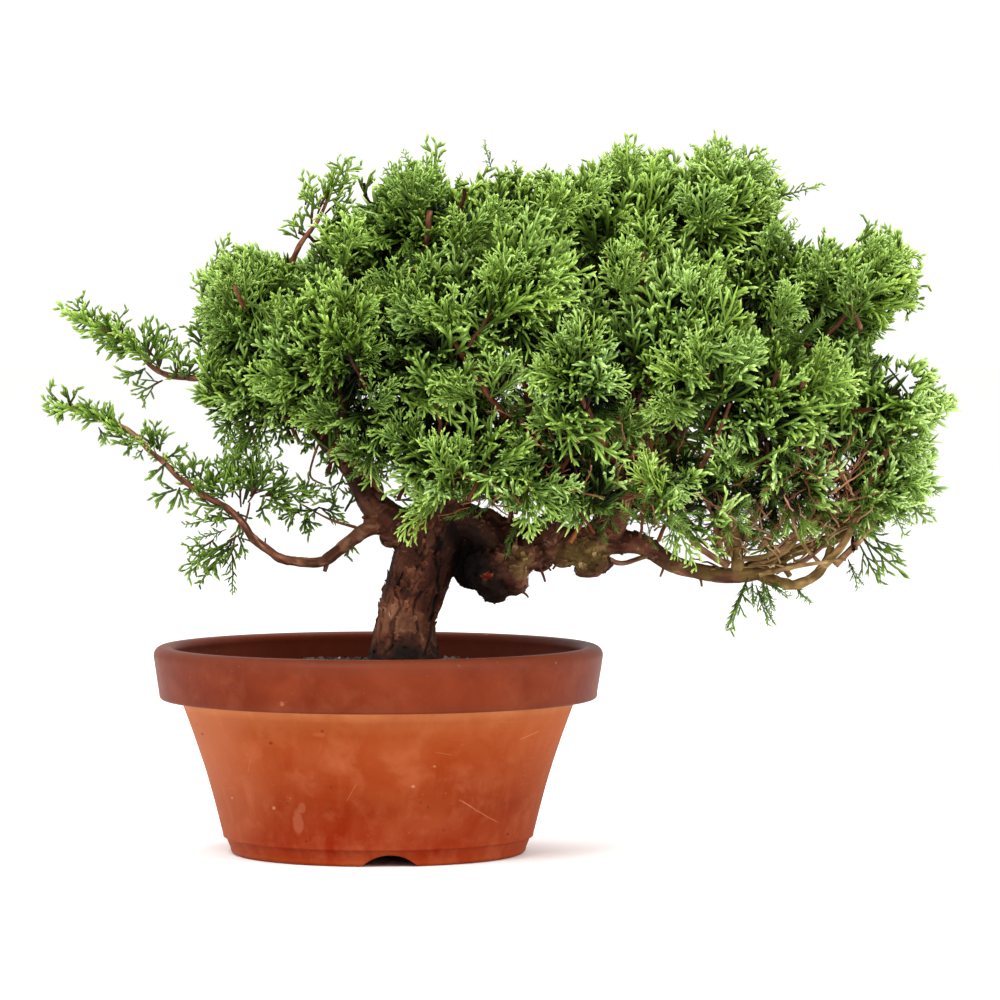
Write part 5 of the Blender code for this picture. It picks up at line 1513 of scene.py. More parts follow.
# Loose bark flakes, lifted at one edge
old_parts = [(core_v, core_q, np.stack([tone, hue], -1))]
where = np.nonzero((core_v[:, 0] > -6) & (core_v[:, 0] < 150) & (core_v[:, 2] > 103) & (core_v[:, 2] < 182))[0]
picked = rng.choice(where, 1400, replace=False)
for i in picked:
    n = core_n[i]
    up = unit(np.array([0.22, 0, 1.0]) - n * np.dot([0.22, 0, 1.0], n) + 1e-6)
    side = np.cross(up, n)
    spin = rng.normal(0, 0.5)
    up, side = up * math.cos(spin) + side * math.sin(spin), side * math.cos(spin) - up * math.sin(spin)
    w, h = rng.uniform(0.5, 1.6), rng.uniform(1.0, 4.2)
    lift = rng.uniform(0.3, 1.1)
    gu, gv = np.meshgrid(np.linspace(-1, 1, 3), np.linspace(0, 1, 4))
    ragged = 1 + 0.35 * rng.normal(0, 1, gu.shape)
    P = (core_v[i] + side * (gu * w * ragged)[..., None] + up * ((gv - 0.3) * h)[..., None]
         + n * (-0.35 + lift * (1.0 + 0.5 * in_burl[i]) * gv**2 + 0.25 * gu**2)[..., None])
    k = np.arange(12).reshape(4, 3)
    quads = np.stack([k[:-1, :-1], k[:-1, 1:], k[1:, 1:], k[1:, :-1]], -1).reshape(-1, 4)
    t = np.clip(tone[i] + 0.02 + (0.10 + 0.10 * rng.random()) * gv * (tone[i] > 0.2) * (core_v[i, 2] > 122) + 0.0 * gu, 0.02, 0.98)
    h2 = np.full(12, np.clip(hue[i] + rng.normal(0, 0.06), 0.02, 0.9)) + np.tile([0.0, 0.004, 0.008], 4)
    old_parts.append((P.reshape(-1, 3), quads, np.stack([t.reshape(-1), h2], -1)))
v, q, uv = joined(old_parts)
old_wood = make_mesh("old_wood", v, q, uv, BARK)
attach(old_wood, "root")
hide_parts("trunk_and_branches")

# Younger branches as separate runs of bark-covered tube that start inside older wood
wood_parts = []


def add_branch(P, R, sides, seed, tone0=0.5, hue0=0.25, rough=0.12, green=0.0):
    K = len(P)
    T, A, B = carried_frames(P)
    s = np.concatenate([[0], np.cumsum(np.linalg.norm(np.diff(P, axis=0), axis=1))])
    ang = np.arange(sides) * 2 * math.pi / sides
    c = np.stack([np.cos(ang)[None] * R[:, None], np.sin(ang)[None] * R[:, None], np.repeat(s[:, None], sides, 1)], -1)
    c = c.reshape(-1, 3) + 31.0 * seed
    n = fbm(c * np.array([0.9, 0.9, 0.22]), 3, 61).reshape(K, sides)
    rings = noise3(np.stack([0 * c[:, 0], 0 * c[:, 0] + seed, c[:, 2] / 2.2], -1), 62).reshape(K, sides)
    radius = R[:, None] * (1 + rough * 1.6 * n + rough * 0.8 * rings)
    v, q = ring_tube(P, radius, A, B, sides)
    tone = tone0 + 0.34 * n + 0.08 * rings
    hue = hue0 + 0.2 * noise3(c / 9.0, 63).reshape(K, sides)
    tone, hue = wood_uv(v, tone.reshape(-1), np.clip(hue.reshape(-1), 0.02, 0.5))
    if green:
        f = np.repeat(np.linspace(0, 1, K), sides)
        hue = hue + (0.80 - hue) * smoothstep(1 - green, 1 - green + 0.15, f)
        tone = tone + 0.14 * smoothstep(1 - green, 1 - green + 0.15, f)
    wood_parts.append((v, q, np.stack([tone, hue], -1)))


core_names = {"arch", "burl_limb", "right_limb"}
for number, (name, route) in enumerate(LIMBS.items()):
    if name in core_names:
        continue
    P, R, s = dense_route(route, 1.5)
    f = s / s[-1]
    P = P + np.stack([noise3(np.stack([s / 13.0, 0 * s + number, 0 * s], -1), 81 + k) for k in range(3)], -1) * (
        np.minimum(f * 6, 1) * 0.8
    )[:, None]
    thin = name in ("lower_left", "upper_left_twig", "right_outer", "right_lower", "right_upright")
    if not thin:
        R = R * (1 - 0.55 * smoothstep(0.72, 1.0, f))
    add_branch(P, R * (1.0 if thin else 0.97), 10 if R.max() < 5 else 14, number + 3, tone0=0.58 if thin else 0.46,
               hue0=0.40 if thin else 0.2, green={"lower_left": 0.28, "upper_left_twig": 0.4, "right_outer": 0.12}.get(name, 0))

# Stubs of broken twigs under the burls and on the old wood
STUBS = [
    ((85, -12, 154), (89, -13, 145), 1.0), ((87, -12, 155), (92, -14, 151), 0.8), ((96, -14, 156), (93, -16, 152), 0.8),
    ((99, -13, 158), (91, -16, 156), 0.6), ((76, -16, 140), (80, -18, 137), 0.8), ((-27, -19, 156), (-28, -20, 151), 1.7),
    ((-60, -28, 164), (-59, -29, 169), 0.6), ((-70, -32, 176), (-67, -33, 188), 0.7), ((30, -14, 172), (34, -21, 177), 1.3),
    ((-1, -7, 182), (-8, -12, 179), 1.2), ((152, -14, 154), (150, -16, 148), 0.9), ((170, -16, 149), (172, -19, 143), 0.9),
    ((252, -6, 184), (258, -8, 186), 0.9), ((190, -20, 160), (196, -23, 165), 1.0), ((44, 10, 205), (38, 18, 210), 1.6),
    ((120, -14, 168), (124, -19, 176), 1.2), ((66, -18, 160), (69, -22, 166), 0.9),
]
for i, (a, b, r) in enumerate(STUBS):
    a, b = np.array(a, float), np.array(b, float)
    f = np.linspace(0, 1, 7)[:, None]
    P = a + (b - a) * f + np.sin(f * 3.1) * 0.4
    add_branch(P, r * (1 - 0.35 * f[:, 0]), 8, 40 + i, tone0=0.5, hue0=0.3)

# Thin loop beside the right limb
add_branch(*dense_route([(119, -13, 159, 1.6), (129, -16, 155, 1.3), (140, -15, 158, 1.4), (147, -13, 160, 1.8)], 1.2)[:2],
           8, 70, tone0=0.62, hue0=0.4)
# Bare twigs: (x, z) seen from the front and depth, radius at each end
TWIGS = [
    ([(127.4, 204.3, -52), (118.3, 222.5, -78), (107.1, 244.9, -98)], 2.1, 1.7),
    ([(73.5, 225.7, -50), (57.5, 245.9, -80), (38.3, 275.8, -98)], 2.1, 1.7),
    ([(67.7, 271, -70), (68.7, 285.4, -88), (69.8, 301.4, -98)], 1.7, 1.3),
    ([(139.7, 295, -60), (140.7, 305.7, -76), (141.8, 319, -84)], 1.6, 1.2),
    ([(24.5, 315.3, -40), (26.1, 327, -52), (27.7, 341.9, -58)], 1.9, 1.7),
    ([(-47, 311, -20), (-41.7, 323.8, -22), (-32.1, 336.6, -20), (-25.7, 350.5, -20)], 1.9, 0.9),
    ([(-70.5, 288.6, -50), (-73.1, 294.5, -66), (-76.3, 301.4, -76)], 1.4, 1.3),
    ([(191.9, 157.4, -18), (187.7, 183, -26), (180.2, 213.9, -40)], 2.6, 1.5),
    ([(190.9, 155.3, -18), (180.2, 177.7, -30), (168.5, 201.1, -44)], 2.2, 1.3),
    ([(209, 152.6, -18), (225, 172.3, -26), (250.6, 188.3, -30), (269.8, 204.3, -30)], 2.2, 1.2),
    ([(231.4, 146.7, -22), (249.5, 167, -30), (265.5, 204.3, -30), (289, 239, -26)], 2.6, 1.2),
    ([(195.7, 167, -20), (207.9, 199, -34), (205.8, 226.7, -50)], 2.2, 1.3),
    ([(203.7, 161.7, -18), (219.7, 185.7, -28), (225, 215, -44)], 2.0, 1.2),
    ([(186.1, 153.1, -20), (169.5, 164.3, -34), (154.6, 181.9, -50), (143.9, 195.8, -60)], 2.2, 1.2),
    ([(188.7, 156.3, -18), (207.9, 158.5, -24), (231.4, 172.3, -22), (254.9, 188.3, -18)], 1.8, 1.0),
    ([(198.3, 152.1, -18), (220.7, 164.3, -24), (243.1, 203.3, -34)], 2.0, 1.1),
    ([(182.3, 162.7, -20), (178.6, 191.5, -34), (194.1, 216.1, -52)], 1.9, 1.1),
    ([(243.7, 153.1, -22), (261.3, 172.3, -20), (274.1, 195.8, -16), (281.5, 220.3, -12)], 2.2, 1.2),
    ([(212.2, 149.9, -16), (228.2, 156.3, -10), (246.3, 175.5, -4), (255.9, 204.3, 0)], 2.0, 1.2),
    ([(171.7, 162.7, -16), (163.1, 177.7, -20), (166.3, 199, -26)], 1.6, 1.0),
    ([(203.7, 148.3, -24), (226.1, 153.1, -34), (249.5, 156.3, -30)], 1.5, 0.9),
    ([(236.7, 153.1, -18), (225, 167, -34), (217.5, 188.3, -46)], 1.3, 0.8),
    ([(219.7, 147.3, -14), (210.1, 162.7, -8), (212.2, 188.3, -2)], 1.7, 1.0),
    ([(-11.8, 173.4, -14), (-25.7, 177.7, -20), (-41.7, 186.2, -22)], 1.0, 0.5),
    ([(-28.9, 224.6, -30), (-34.7, 209.7, -28), (-35.8, 200.1, -24), (-27.8, 195.8, -20)], 0.8, 0.5),
    ([(27.7, 205.4, -30), (11.7, 220.3, -50), (-3.3, 231, -60)], 1.8, 1.1),
    ([(97, 199, -40), (89, 217.1, -66), (75.7, 231, -78)], 1.6, 1.0),
    ([(139.7, 177.7, -30), (147.7, 199, -48), (145, 220.3, -62)], 1.8, 1.0),
    ([(1, 193.7, -20), (-13.9, 209.7, -34), (-22.5, 225.7, -46)], 1.9, 1.1),
    ([(171.7, 204.3, -56), (180.2, 220.3, -70), (187.7, 239.5, -84)], 1.5, 1.0),
    ([(257, 279, -40), (251.7, 295, -52), (258.1, 302.5, -60)], 1.5, 1.3),
    ([(214.3, 231, -60), (209, 243.8, -74), (213.3, 256.6, -84)], 1.4, 1.2),
    ([(231.4, 234.2, -50), (223.9, 243.8, -66), (228.2, 252.3, -78)], 1.3, 1.2),
]
for i, (line, r0, r1) in enumerate(TWIGS):
    pts = [in_view(x, z, d) for x, z, d in line]
    radii = np.linspace(r0, r1, len(pts))
    P, R, _ = dense_route([(*p, r) for p, r in zip(pts, radii)], 2.0)
    add_branch(P, R * 0.9, 7, 80 + i, tone0=0.66, hue0=0.16)

# Twigs that carry the tufts
limb_points = np.concatenate([dense_route(r, 4.0)[0] for r in LIMBS.values()])
limb_radii = np.concatenate([dense_route(r, 4.0)[1] for r in LIMBS.values()])
for i, (end, direction) in enumerate(TWIG_ENDS):
    gap = np.linalg.norm(limb_points - end, axis=1)
    j = int((gap + 3.0 * np.maximum(limb_points[:, 2] - end[2], 0) * 0.1).argmin())
    start = limb_points[j]
    length = gap[j]
    if length < 3 or length > 62 or outside(front_view(end[None]))[0][0] > -9.0:
        continue
    if end[2] < 208 and 22 < end[0] < 160:
        continue
    between = start + (end - start) * np.array([[0.25], [0.5], [0.8]])
    if crown_field(between).min() < 0.06:
        continue
    f = np.linspace(0, 1, max(5, min(12, int(length / 7))))[:, None]
    mid = (start + end) / 2 + np.array([0, 0, -0.14 * length]) + rng.normal(0, 0.06 * length, 3)
    lead = end - unit(np.asarray(direction, float)) * 0.25 * length
    P = (1 - f) ** 3 * start + 3 * f * (1 - f) ** 2 * mid + 3 * f**2 * (1 - f) * lead + f**3 * end
    P[1:-1] += rng.normal(0, 0.5, (len(P) - 2, 3))
    if outside(front_view(P))[0].max() > -5.0:
        continue
    R = 0.9 + (min(0.012 * length + 1.0, 1.6) - 1.0) * (1 - f[:, 0])
    add_branch(P, R, 5, 200 + i, tone0=0.54, hue0=0.12, rough=0.08)

# Fine dead twigs tangled over the right limb
for i in range(150):
    a = in_view(rng.uniform(175, 256), rng.uniform(150, 176), rng.uniform(-34, 6))
    a[2] += 16 * smoothstep(218, 236, a[0])
    d = unit(np.array([rng.normal(0, 1.0), rng.normal(0, 0.5), 0.12 + abs(rng.normal(0.3, 0.6))]))
    length = rng.uniform(10, 28)
    f = np.linspace(0, 1, 7)[:, None]
    P = a + d * length * f + np.cumsum(rng.normal(0, 0.9, (7, 3)), 0) + np.array([0, 0, -2.0]) * f**2
    add_branch(P, 0.62 * (1 - 0.45 * f[:, 0]), 4, 1200 + i, tone0=0.58 + 0.26 * rng.random(), hue0=0.06 if rng.random() < 0.7 else 0.40, rough=0.05)
for i in range(190):
    a = in_view(rng.uniform(140, 256), rng.uniform(172, 216), rng.uniform(-62, -6))
    d = unit(np.array([rng.normal(0, 0.9), rng.normal(-0.2, 0.5), 0.4 + abs(rng.normal(0.3, 0.6))]))
    f = np.linspace(0, 1, 6)[:, None]
    P = a + d * rng.uniform(9, 24) * f + np.cumsum(rng.normal(0, 0.8, (6, 3)), 0)
    add_branch(P, 0.55 * (1 - 0.45 * f[:, 0]), 4, 1700 + i, tone0=0.62 + 0.24 * rng.random(), hue0=0.07, rough=0.05)
for i in range(190):
    a = in_view(rng.uniform(30, 150), rng.uniform(184, 232), rng.uniform(-78, -44))
    d = unit(np.array([rng.normal(0, 0.9), rng.normal(-0.3, 0.5), 0.3 + rng.normal(0.2, 0.7)]))
    f = np.linspace(0, 1, 6)[:, None]
    P = a + d * rng.uniform(7, 20) * f + np.cumsum(rng.normal(0, 0.7, (6, 3)), 0)
    add_branch(P, 0.5 * (1 - 0.45 * f[:, 0]), 4, 2000 + i, tone0=0.66 + 0.24 * rng.random(), hue0=0.10, rough=0.05)
for i in range(90):
    a = in_view(rng.uniform(70, 165), rng.uniform(174, 212), rng.uniform(-50, -16))
    d = unit(np.array([rng.normal(0, 1.0), rng.normal(0, 0.5), rng.normal(0.4, 0.8)]))
    f = np.linspace(0, 1, 6)[:, None]
    P = a + d * rng.uniform(8, 22) * f + np.cumsum(rng.normal(0, 0.7, (6, 3)), 0)
    add_branch(P, 0.42 * (1 - 0.45 * f[:, 0]), 4, 1500 + i, tone0=0.66, hue0=0.2, rough=0.05)

v, q, uv = joined(wood_parts)
print("branches", len(q))
branches = make_mesh("branches", v, q, uv, BARK)
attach(branches, "root")
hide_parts("trunk_and_branches")

# ---------------------------------------------------------------------- pot
POT_STEPS = 360
NOTCH_ANGLES = (-84.4, 35.6, 155.6)


def arc(cx, cz, r, start, end, steps):
    a = np.radians(np.linspace(start, end, steps))
    return [(cx + r * math.cos(t), cz + r * math.sin(t)) for t in a]


def run(p, q, steps):
    return [(p[0] + (q[0] - p[0]) * t, p[1] + (q[1] - p[1]) * t) for t in np.linspace(0, 1, steps + 1)[1:]]


profile = arc(115.0, 105.5, 5.0, 88, -8, 10)
profile += run(profile[-1], (119.1, 99.0), 3)
profile += run(profile[-1], (117.1, 86.5), 6)
profile += arc(115.2, 84.1, 1.7, 0, -80, 5)
profile += run(profile[-1], (106.6, 82.5), 4)
profile += arc(106.6, 80.9, 1.6, 100, 176, 5)[1:]
start = profile[-1]
for t in np.linspace(0, 1, 34)[1:]:
    z = start[1] + (9.9 - start[1]) * t
    profile.append((start[0] + (82.7 - start[0]) * t - 1.35 * math.sin(math.pi * t), z))
profile += arc(82.0, 9.4, 0.75, 10, -70, 4)
profile += [(81.1, 8.6), (80.9, 8.2)]
profile += run(profile[-1], (78.9, 2.9), 5)
profile += arc(76.7, 2.2, 2.2, -5, -88, 6)
outer_count = len(profile)
profile += run(profile[-1], (66.2, 0.0), 5)
profile += arc(66.2, 1.2, 1.2, -95, -175, 4)
profile += run(profile[-1], (63.6, 5.0), 3)
profile += run(profile[-1], (14.0, 5.0), 12)
profile += arc(14.0, 6.0, 1.0, -95, -175, 4)
profile += run(profile[-1], (13.0, 13.2), 3)
profile += arc(14.0, 13.2, 0.8, 178, 92, 4)
profile += run(profile[-1], (69.1, 14.0), 8)
profile += run(profile[-1], (75.1, 19.0), 3)
profile += run(profile[-1], (95.4, 78.5), 10)
profile += run(profile[-1], (107.4, 92.5), 6)
profile += run(profile[-1], (109.2, 105.0), 6)
profile += arc(112.9, 106.6, 3.8, 186, 96, 8)
profile = np.array(profile)

theta = np.arange(POT_STEPS + 1) * 2 * math.pi / POT_STEPS
ring_r, ring_z = profile[:, 0][:, None], profile[:, 1][:, None]
direction = np.stack([np.cos(theta), np.sin(theta)], -1)[None]
pot_v = np.concatenate([ring_r[..., None] * direction, np.repeat(ring_z, POT_STEPS + 1, 1)[..., None]], -1)
# Slow unevenness of a thrown and pressed pot.
flat = pot_v.reshape(-1, 3)
swell = 0.28 * noise3(flat / 55.0, 5) + 0.07 * noise3(flat / 9.0, 6)
still = smoothstep(1.0, 6.0, flat[:, 2])
unit_out = np.stack([np.tile(np.cos(theta), len(profile)), np.tile(np.sin(theta), len(profile)), 0 * flat[:, 0]], -1)
flat = flat + unit_out * (swell * still)[:, None]
# Chips and dents along the lip and the collar's lower edge.
for k in range(26):
    a = rng.uniform(0, 2 * math.pi)
    if k % 2:
        c = np.array([116.6 * math.cos(a), 116.6 * math.sin(a), 83.2])
    else:
        c = np.array([118.0 * math.cos(a), 118.0 * math.sin(a), 109.0])
    size = rng.uniform(0.9, 2.0)
    d = np.linalg.norm(flat - c, axis=1)
    push = np.clip(1 - d / size, 0, 1) ** 2 * 0.55
    flat = flat - unit_out * push[:, None]
# Drainage arches: the foot ring's lower edge rises to an arch.
notch_radius = (29.0**2 / 4 + 6.1**2) / (2 * 6.1)
for angle in NOTCH_ANGLES:
    a = math.radians(angle)
    along = flat[:, 0] * math.cos(a) + flat[:, 1] * math.sin(a)
    across = -flat[:, 0] * math.sin(a) + flat[:, 1] * math.cos(a)
    near = (along > 58) & (along < 90) & (np.abs(across) < 14.5)
    top = 6.1 - notch_radius + np.sqrt(np.maximum(notch_radius**2 - across**2, 0))
    flat[:, 2] = np.where(near & (flat[:, 2] < top), top, flat[:, 2])
pot_v = flat
S = POT_STEPS + 1
rows = len(profile)
k = (np.arange(rows) * S)[:, None]
k2 = (((np.arange(rows) + 1) % rows) * S)[:, None]
j = np.arange(POT_STEPS)[None]
pot_q = np.stack([k + j, k2 + j, k2 + j + 1, k + j + 1], -1).reshape(-1, 4)
# Bake map: round the pot in U; down the outside takes most of V.
seg = np.concatenate([[0], np.cumsum(np.linalg.norm(np.diff(np.concatenate([profile, profile[:1]]), axis=0), axis=1))])
weight = np.where(np.arange(rows + 1) <= outer_count, 1.0, 0.0)
outer_len = seg[outer_count]
v_at = np.where(seg <= outer_len, 0.002 + 0.66 * seg / outer_len,
                0.664 + 0.334 * (seg - outer_len) / (seg[-1] - outer_len))
vk, vk2 = v_at[:-1], v_at[1:]
u0 = (np.arange(POT_STEPS) / POT_STEPS)[None, :] + np.zeros((rows, 1))
u1 = ((np.arange(POT_STEPS) + 1) / POT_STEPS)[None, :] + np.zeros((rows, 1))
va, vb = np.repeat(vk[:, None], POT_STEPS, 1), np.repeat(vk2[:, None], POT_STEPS, 1)
pot_uv = np.stack([np.stack([u0, va], -1), np.stack([u0, vb], -1), np.stack([u1, vb], -1), np.stack([u1, va], -1)], 2)
pot_uv = pot_uv.reshape(-1, 2)


def terracotta():
    m = Nodes("terracotta")
    coord = m.new("ShaderNodeTexCoord").outputs["Object"]
    coord = m.mapped(coord, location=(-AXIS[0], -AXIS[1], 0))
    sep = m.new("ShaderNodeSeparateXYZ")
    m.link(coord, sep.inputs[0])
    height = m.math("MULTIPLY", sep.outputs["Z"], 1000.0)
    across = m.math("MULTIPLY", sep.outputs["X"], 1000.0)
    r2 = m.math("ADD", m.math("MULTIPLY", sep.outputs["X"], sep.outputs["X"]),
                m.math("MULTIPLY", sep.outputs["Y"], sep.outputs["Y"]))
    radius = m.math("MULTIPLY", m.math("SQRT", r2), 1000.0)
    cloud = m.noise(coord, 26.0, 4, 0.55, 0.6)
    cloud2 = m.noise(m.mapped(coord, location=(0.31, 0.12, 0.7)), 58.0, 5, 0.6, 0.3)
    grain = m.noise(coord, 420.0, 3, 0.6)
    fine = m.noise(coord, 1500.0, 2, 0.5)
    streak = m.noise(m.mapped(coord, scale=(1, 1, 0.22)), 90.0, 4, 0.55)
    # body, deeper and redder towards the foot
    rise = m.math("DIVIDE", height, 82.0, clamp=True)
    body = m.ramp(rise, [(0.0, srgb(136, 42, 3)), (0.10, srgb(124, 28, 0)), (0.38, srgb(120, 34, 2)),
                         (0.66, srgb(134, 48, 9)), (0.9, srgb(148, 63, 22)), (1.0, srgb(152, 68, 28))])
    dusty = m.ramp(cloud, [(0.36, (0, 0, 0, 1)), (0.66, (1, 1, 1, 1))])
    body = m.mix(m.math("MULTIPLY", dusty, 0.26), body, srgb(164, 88, 48))
    dusty2 = m.ramp(cloud2, [(0.50, (0, 0, 0, 1)), (0.74, (1, 1, 1, 1))])
    body = m.mix(m.math("MULTIPLY", dusty2, 0.26), body, srgb(176, 102, 66))
    body = m.mix(m.math("MULTIPLY", m.ramp(streak, [(0.5, (0, 0, 0, 1)), (0.8, (1, 1, 1, 1))]), 0.16), body,
                 srgb(178, 106, 68))
    # painted light: lighter towards the left side and, less, towards the right side
    painted_left_light = m.math("MULTIPLY", m.math("SUBTRACT", -58.0, across), 0.028, clamp=True)
    body = m.mix(m.math("MULTIPLY", painted_left_light, 0.55), body, srgb(184, 112, 76))
    painted_right_light = m.math("MULTIPLY", m.math("SUBTRACT", across, 66.0), 0.03, clamp=True)
    body = m.mix(m.math("MULTIPLY", painted_right_light, 0.38), body, srgb(182, 104, 62))
    front = m.math("MULTIPLY", sep.outputs["Y"], -60.0, clamp=True)

    def patch(x, z, rx, rz, edge=1.0):
        dx = m.math("DIVIDE", m.math("SUBTRACT", across, x), rx)
        dz = m.math("DIVIDE", m.math("SUBTRACT", height, z), rz)
        d2 = m.math("ADD", m.math("MULTIPLY", dx, dx), m.math("MULTIPLY", dz, dz))
        worn = m.math("ADD", m.math("SUBTRACT", 1.0, d2), m.math("MULTIPLY", m.math("SUBTRACT", cloud2, 0.5), 2.6))
        return m.math("MULTIPLY", m.math("MULTIPLY", worn, edge, clamp=True), front)

    def scratch_line(x, z, length, degrees, width):
        c, s_ = math.cos(math.radians(degrees)), math.sin(math.radians(degrees))
        dx, dz = m.math("SUBTRACT", across, x), m.math("SUBTRACT", height, z)
        run_ = m.math("ADD", m.math("MULTIPLY", dx, c), m.math("MULTIPLY", dz, s_))
        off = m.math("SUBTRACT", m.math("MULTIPLY", dz, c), m.math("MULTIPLY", dx, s_))
        off = m.math("ADD", off, m.math("MULTIPLY", m.math("SUBTRACT", cloud2, 0.5), 1.6))
        near = m.math("SUBTRACT", 1.0, m.math("DIVIDE", m.math("ABSOLUTE", off), width), clamp=True)
        ends = m.math("SUBTRACT", 1.0, m.math("DIVIDE", m.math("ABSOLUTE", run_), length / 2), clamp=True)
        return m.math("MULTIPLY", m.math("MULTIPLY", near, m.math("MULTIPLY", ends, 4.0, clamp=True)), front)

    for x, z, rx, rz, amount in ((-28, 58, 17, 11, 0.10), (-34, 44, 11, 8, 0.08), (-29, 70.5, 4.5, 1.6, 0.30), (10, 60, 24, 9, 0.06),
                                 (-60, 40, 9, 14, 0.07), (52, 44, 16, 9, 0.07), (30, 22, 20, 6, 0.05)):
        body = m.mix(m.math("MULTIPLY", patch(x, z, rx, rz, 0.8), amount), body, srgb(190, 120, 84))
    for x, z, rx, rz, amount in ((-40, 23, 3.5, 8, 0.14), (-38, 31, 2.5, 4, 0.12), (-53, 30, 1.0, 1.0, 0.4), (20, 43, 1.0, 0.8, 0.4),
                                 (-76, 33, 0.9, 0.9, 0.4), (31, 53.5, 0.9, 0.7, 0.35)):
        body = m.mix(m.math("MULTIPLY", patch(x, z, rx, rz, 2.0), amount), body, srgb(206, 140, 106))
    for x, z, rx, rz, amount in ((-6, 31, 14, 9, 0.14), (24, 12, 22, 6, 0.14), (-54, 65, 1.3, 1.0, 0.7), (69, 14, 1.0, 0.9, 0.7),
                                 (-92, 66, 0.9, 0.8, 0.6), (-36, 13, 0.9, 0.8, 0.7)):
        body = m.mix(m.math("MULTIPLY", patch(x, z, rx, rz, 1.4), amount), body, srgb(112, 30, 4))
    for x, z, length, degrees, width in ((54, 28, 26, -36, 0.26), (80.5, 67, 12, 19, 0.30), (47, 33, 9, -28, 0.16),
                                         (-12, 40, 12, 62, 0.12), (36, 60, 10, -12, 0.12), (-66, 52, 9, 80, 0.12)):
        body = m.mix(m.math("MULTIPLY", scratch_line(x, z, length, degrees, width), 0.42), body, srgb(212, 148, 112))
    # pale lime under the collar
    rim_line = m.ramp(m.math("DIVIDE", m.math("SUBTRACT", height, 70.0), 12.0, clamp=True),
                      [(0.0, (0, 0, 0, 1)), (0.55, (0.22, 0.22, 0.22, 1)), (0.86, (0.85, 0.85, 0.85, 1)), (1.0, (1, 1, 1, 1))])
    lime = m.math("MULTIPLY", rim_line, m.math("ADD", m.math("MULTIPLY", cloud2, 0.9), 0.12), clamp=True)
    body = m.mix(lime, body, srgb(200, 126, 78))
    # collar, browner and smoother
    collar = m.mix(m.ramp(cloud, [(0.32, (0, 0, 0, 1)), (0.68, (1, 1, 1, 1))]), srgb(98, 32, 8), srgb(117, 48, 23))
    collar = m.mix(m.math("MULTIPLY", dusty2, 0.30), collar, srgb(134, 74, 48))
    # Painted sheen: the collar is greyer and purpler towards the lip.
    edge = m.math("DIVIDE", m.math("SUBTRACT", height, 100.0), 10.0, clamp=True)
    collar = m.mix(m.math("MULTIPLY", edge, 0.60), collar, srgb(92, 46, 32))
    # Painted shade: the collar is darker towards its lower edge.
    painted_collar_shadow = m.math("SUBTRACT", 1.0, m.math("DIVIDE", m.math("SUBTRACT", height, 82.0), 7.0, clamp=True))
    collar = m.mix(m.math("MULTIPLY", painted_collar_shadow, 0.35), collar, srgb(88, 40, 22))
    is_collar = m.math("MULTIPLY", m.math("SUBTRACT", height, 82.2), 3.0, clamp=True)
    colour = m.mix(is_collar, body, collar)
    # inside, darker and browner
    wall = m.math("SUBTRACT", radius, m.math("ADD", m.math("MULTIPLY", height, 0.235), 76.0))
    inner = m.math("MULTIPLY", m.math("SUBTRACT", m.math("MULTIPLY", wall, -1.0), -8.6), 1.0, clamp=True)
    deep = m.mix(cloud2, srgb(84, 29, 13), srgb(116, 48, 26))
    top_zone = m.math("MULTIPLY", m.math("SUBTRACT", 112.4, radius), 0.8, clamp=True)
    above = m.math("MULTIPLY", m.math("SUBTRACT", height, 15.0), 1.0, clamp=True)
    inside = m.math("MULTIPLY", top_zone, m.math("MULTIPLY", above, m.math("MULTIPLY", m.math("SUBTRACT", height, 83.0), 5.0, clamp=True)))
    colour = m.mix(inside, colour, deep)
    # specks, grit and pits
    pale = m.ramp(grain, [(0.70, (0, 0, 0, 1)), (0.76, (1, 1, 1, 1))])
    colour = m.mix(m.math("MULTIPLY", pale, 0.30), colour, srgb(188, 128, 90))
    cell = m.new("ShaderNodeTexVoronoi", feature="F1")
    cell.inputs["Scale"].default_value = 75.0
    m.link(coord, cell.inputs["Vector"])
    pit = m.ramp(cell.outputs["Distance"], [(0.0, (1, 1, 1, 1)), (0.045, (1, 1, 1, 1)), (0.075, (0, 0, 0, 1))])
    colour = m.mix(m.math("MULTIPLY", pit, 0.6), colour, srgb(92, 42, 24))
    cell2 = m.new("ShaderNodeTexVoronoi", feature="F1")
    cell2.inputs["Scale"].default_value = 46.0
    m.link(m.mapped(coord, location=(0.4, 0.9, 0.2)), cell2.inputs["Vector"])
    chalk = m.ramp(cell2.outputs["Distance"], [(0.0, (1, 1, 1, 1)), (0.04, (1, 1, 1, 1)), (0.07, (0, 0, 0, 1))])
    colour = m.mix(m.math("MULTIPLY", m.math("MULTIPLY", chalk, dusty2), 0.5), colour, srgb(214, 160, 122))
    # long fine scratches
    scratch = m.noise(m.mapped(coord, scale=(40, 40, 700), rotation=(0.5, 0.3, 0.2)), 1.0, 2, 0.5)
    hair = m.ramp(m.math("ABSOLUTE", m.math("SUBTRACT", scratch, 0.5)), [(0.0, (1, 1, 1, 1)), (0.004, (0, 0, 0, 1))])
    where = m.ramp(m.noise(m.mapped(coord, location=(0.7, 0.2, 0.1)), 14.0, 2), [(0.58, (0, 0, 0, 1)), (0.66, (1, 1, 1, 1))])
    on_body = m.math("SUBTRACT", 1.0, is_collar)
    hair = m.math("MULTIPLY", m.math("MULTIPLY", hair, where), on_body)
    colour = m.mix(m.math("MULTIPLY", hair, 0.4), colour, srgb(206, 146, 110))
